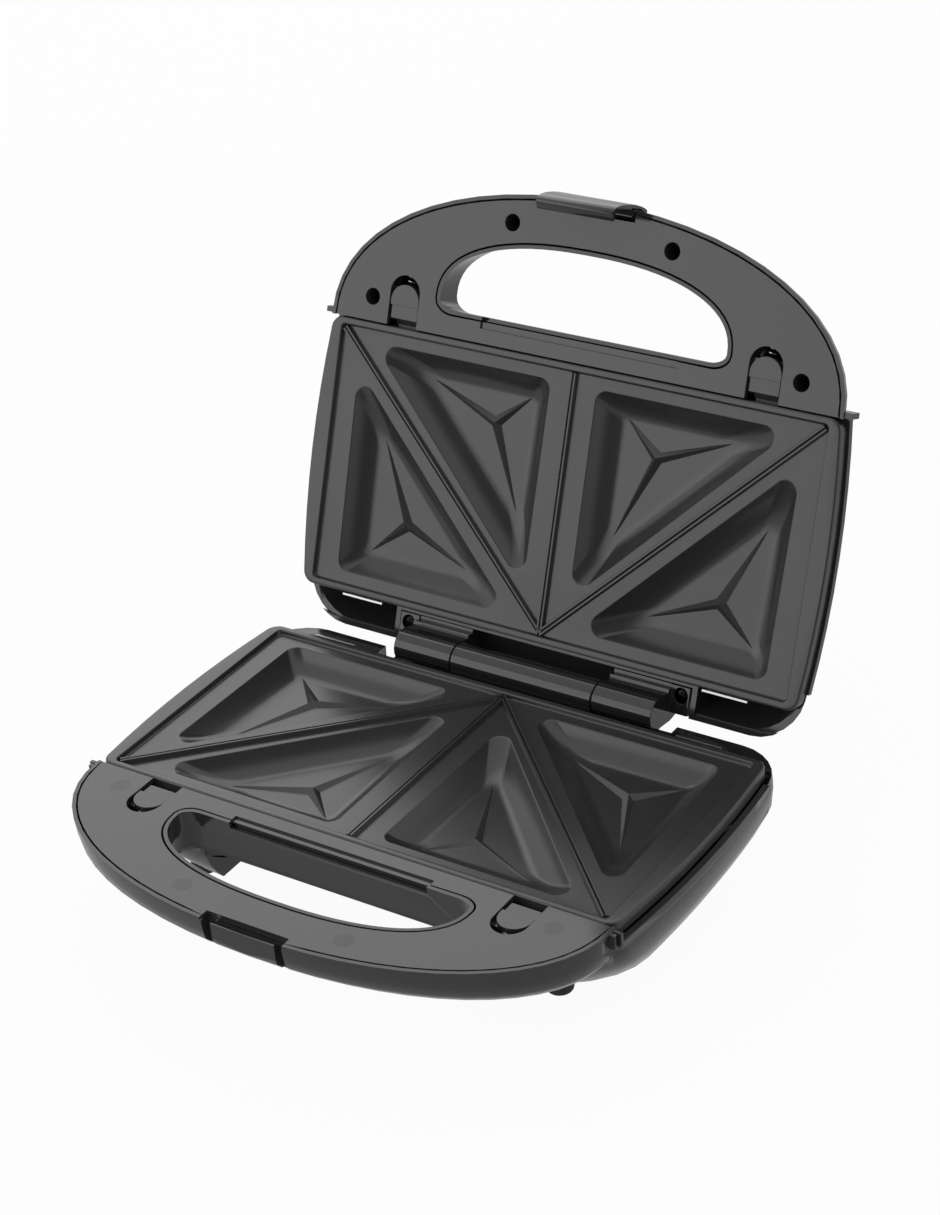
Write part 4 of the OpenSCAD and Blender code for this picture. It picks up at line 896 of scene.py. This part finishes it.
# Each row: the node, its half, the spots as x and reach, the z of the head's seat, the
# way the head points, and the head's height and the shaft's length in mm
for node, half, spots, z, way, height, length in (
        ("base_panel_screws", "base", panel_spots, -10.5, -1, 2.0, 6.5),
        ("lid_panel_screws", "lid", panel_spots, -8.0, 1, 2.0, 4.0),
        ("barrel_screws", "base", [(16.25, 0)], -16.5, -1, 2.0, 7.8),
        ("knuckle_screws", "lid", [(63.5, 7)], -7.4, 1, 2.0, 9.0),
        ("lower_reflector_screws", "base", tray_spots, -20.4, 1, 1.6, 7.0),
        ("upper_reflector_screws", "lid", tray_spots, -20.4, 1, 1.6, 7.0)):
    settings = {screw_in["Head Radius"]: 0.0028, screw_in["Head Height"]: height / 1000,
                screw_in["Shaft Radius"]: 0.0015, screw_in["Shaft Length"]: length / 1000,
                screw_in["Steel"]: black_oxide}
    places = [((side * x, reach, z), (0, 0, way)) for x, reach in spots for side in (1, -1)]
    screws = made_at_points(node, screw_tree, settings, places, half)
    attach(screws, half)
    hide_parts(node)


# ---- Pins and springs ----
# Ground steel pins for the hinge and the latch, and coils of music wire: one
# behind each release tab, pressed up as the tab goes back, and one that turns
# the latch shut.
# Bright zinc on steel: pale grey, with the faint cloudiness of the plating.
zinc, tree = new_finish("bright zinc plate on steel")
_, cloud, tone = mottled(tree, 500.0, 2.0, "#a4a6a8", "#b8babb")
sheen = put(tree, "ShaderNodeMapRange", {"Value": cloud.outputs[0], "To Min": 0.2, "To Max": 0.34})
surface = put(tree, "ShaderNodeBsdfPrincipled", {
    "Base Color": tone.outputs["Result"], "Roughness": sheen.outputs[0], "Metallic": 1.0})
put(tree, "ShaderNodeOutputMaterial", {"Surface": surface.outputs[0]})
for node in ("hinge_pin", "latch_pin", "latch_spring"):
    dress(node, zinc)

coil_inputs = {"Places": "Geometry", "Radius": "Float", "Length": "Float", "Turns": "Float",
               "Wire Radius": "Float", "Steel": "Material"}
coil_tree, coil_in, given = new_group("wire coil at each point", coil_inputs)
helix = put(coil_tree, "GeometryNodeCurveSpiral", {
    "Resolution": 24, "Rotations": given.outputs["Turns"], "Start Radius": given.outputs["Radius"],
    "End Radius": given.outputs["Radius"], "Height": given.outputs["Length"]})
section = put(coil_tree, "GeometryNodeCurvePrimitiveCircle",
              {"Resolution": 10, "Radius": given.outputs["Wire Radius"]}, mode="RADIUS")
wound = put(coil_tree, "GeometryNodeCurveToMesh", {"Curve": helix.outputs[0],
                                                   "Profile Curve": section.outputs["Curve"],
                                                   "Fill Caps": True})
end_at_points(coil_tree, given, wound)

spring_stop, spring_z, spring_run, tab_travel = 151.0, -5.0, 9.9, 3.2
settings = {coil_in["Radius"]: 0.0022, coil_in["Length"]: spring_run / 1000, coil_in["Turns"]: 5.0,
            coil_in["Wire Radius"]: 0.0004, coil_in["Steel"]: zinc}
for level, half in (("lower", "base"), ("upper", "lid")):
    for side, name in ((-1, "left"), (1, "right")):
        node = f"{level}_{name}_release_spring"
        spot = (side * tab_x, spring_stop, spring_z)
        coil = made_at_points(node, coil_tree, settings, [(spot, (0, -1, 0))], half)
        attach(coil, half)
        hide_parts(node)
        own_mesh(coil)


# ---- Reflector trays ----
# Shallow trays drawn from aluminised steel sheet, screwed to the shells' bosses;
# they carry the heating elements and throw the heat at the plates.
# Aluminised steel: bright grey with the long soft streaks of rolling.
aluminised, tree = new_finish("drawn aluminised steel sheet")
place = put(tree, "ShaderNodeTexCoord")
stretched = put(tree, "ShaderNodeMapping",
                {"Vector": place.outputs["Object"], "Scale": (60.0, 1400.0, 1400.0)})
streaks = put(tree, "ShaderNodeTexNoise",
              {"Vector": stretched.outputs[0], "Scale": 1.0, "Detail": 3.0})
tone = put(tree, "ShaderNodeMix",
           {"Factor": streaks.outputs[0], "A": linear("#bdbfc0"), "B": linear("#d2d3d4")},
           data_type="RGBA")
sheen = put(tree, "ShaderNodeMapRange",
            {"Value": streaks.outputs[0], "To Min": 0.24, "To Max": 0.4})
surface = put(tree, "ShaderNodeBsdfPrincipled", {
    "Base Color": tone.outputs["Result"], "Roughness": sheen.outputs[0], "Metallic": 1.0})
put(tree, "ShaderNodeOutputMaterial", {"Surface": surface.outputs[0]})
for node in ("lower_reflector", "upper_reflector"):
    dress(node, aluminised)


# ---- Heating elements ----
# Each half has one U of steel tube packed with magnesia round a heating wire, held
# in four spring clips, and a snap-action thermostat under its tray.
# Steel sheath after some hours of heat: brown grey oxide, darker in patches.
sheath, tree = new_finish("heat-oxidised steel sheath")
_, patches, tone = mottled(tree, 140.0, 5.0, "#54493f", "#857a6e")
bump = put(tree, "ShaderNodeBump",
           {"Height": patches.outputs[0], "Strength": 0.15, "Distance": 0.0003})
surface = put(tree, "ShaderNodeBsdfPrincipled",
              {"Base Color": tone.outputs["Result"], "Roughness": 0.48, "Metallic": 1.0,
               "Normal": bump.outputs[0]})
put(tree, "ShaderNodeOutputMaterial", {"Surface": surface.outputs[0]})
for node in ("lower_element", "upper_element"):
    dress(node, sheath)
for node in ("lower_element_clips", "upper_element_clips", "lower_thermostat", "upper_thermostat"):
    dress(node, zinc, rounding=0.15)


# ---- Feet ----
# Four tapered rubber feet, pushed by their stems into holes in the base.
# Moulded black rubber: matt, with a fine bloom, drawn at 0.7 mm.
rubber, tree = new_finish("moulded black rubber")
_, bloom, tone = mottled(tree, 1400.0, 3.0, "#171717", "#232323")
bump = put(tree, "ShaderNodeBump",
           {"Height": bloom.outputs[0], "Strength": 0.2, "Distance": 0.0002})
surface = put(tree, "ShaderNodeBsdfPrincipled",
              {"Base Color": tone.outputs["Result"], "Roughness": 0.68, "IOR": 1.52,
               "Normal": bump.outputs[0]})
put(tree, "ShaderNodeOutputMaterial", {"Surface": surface.outputs[0]})
for node in ("front_left_foot", "front_right_foot", "rear_left_foot", "rear_right_foot"):
    dress(node, rubber, rounding=0.6)


# ---- Wiring pieces ----
# The terminal block behind the cord inlet, the cut-out fuse in its sleeve and the
# holder of the two lamps: pale mouldings that stand the heat.
# Steatite-filled moulding: off-white, eggshell, slightly speckled.
steatite, tree = new_finish("steatite-filled moulding")
_, _, tone = mottled(tree, 1200.0, 4.0, "#cbc5b8", "#dfdacd")
surface = put(tree, "ShaderNodeBsdfPrincipled", {
    "Base Color": tone.outputs["Result"], "Roughness": 0.5, "IOR": 1.55})
put(tree, "ShaderNodeOutputMaterial", {"Surface": surface.outputs[0]})
for node in ("terminal_block", "lamp_holder", "thermal_fuse"):
    dress(node, steatite, rounding=0.2)


# ---- Lamp lenses ----
# Two small domed lenses in the lid's top, red for power and green for ready,
# moulded in clear tinted polycarbonate over the lamps.
# Tinted polycarbonate: glossy, the light sinks a little way in before it turns.
for node, colour, name in (("power_lens", "#b4160e", "red_lens"),
                           ("ready_lens", "#1f8f35", "green_lens")):
    tinted, tree = new_finish(name.replace("_lens", " tinted polycarbonate"))
    place = put(tree, "ShaderNodeTexCoord")
    depth = put(tree, "ShaderNodeTexNoise",
                {"Vector": place.outputs["Object"], "Scale": 300.0, "Detail": 1.0})
    tone = put(tree, "ShaderNodeHueSaturation", {"Color": linear(colour)})
    light = put(tree, "ShaderNodeMapRange",
                {"Value": depth.outputs[0], "To Min": 0.8, "To Max": 1.2})
    tree.links.new(light.outputs[0], tone.inputs["Value"])
    surface = put(tree, "ShaderNodeBsdfPrincipled", {
        "Base Color": tone.outputs[0], "Roughness": 0.08, "IOR": 1.58, "Transmission Weight": 0.35})
    put(tree, "ShaderNodeOutputMaterial", {"Surface": surface.outputs[0]})
    dress(node, tinted, rounding=0.2)

low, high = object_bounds()
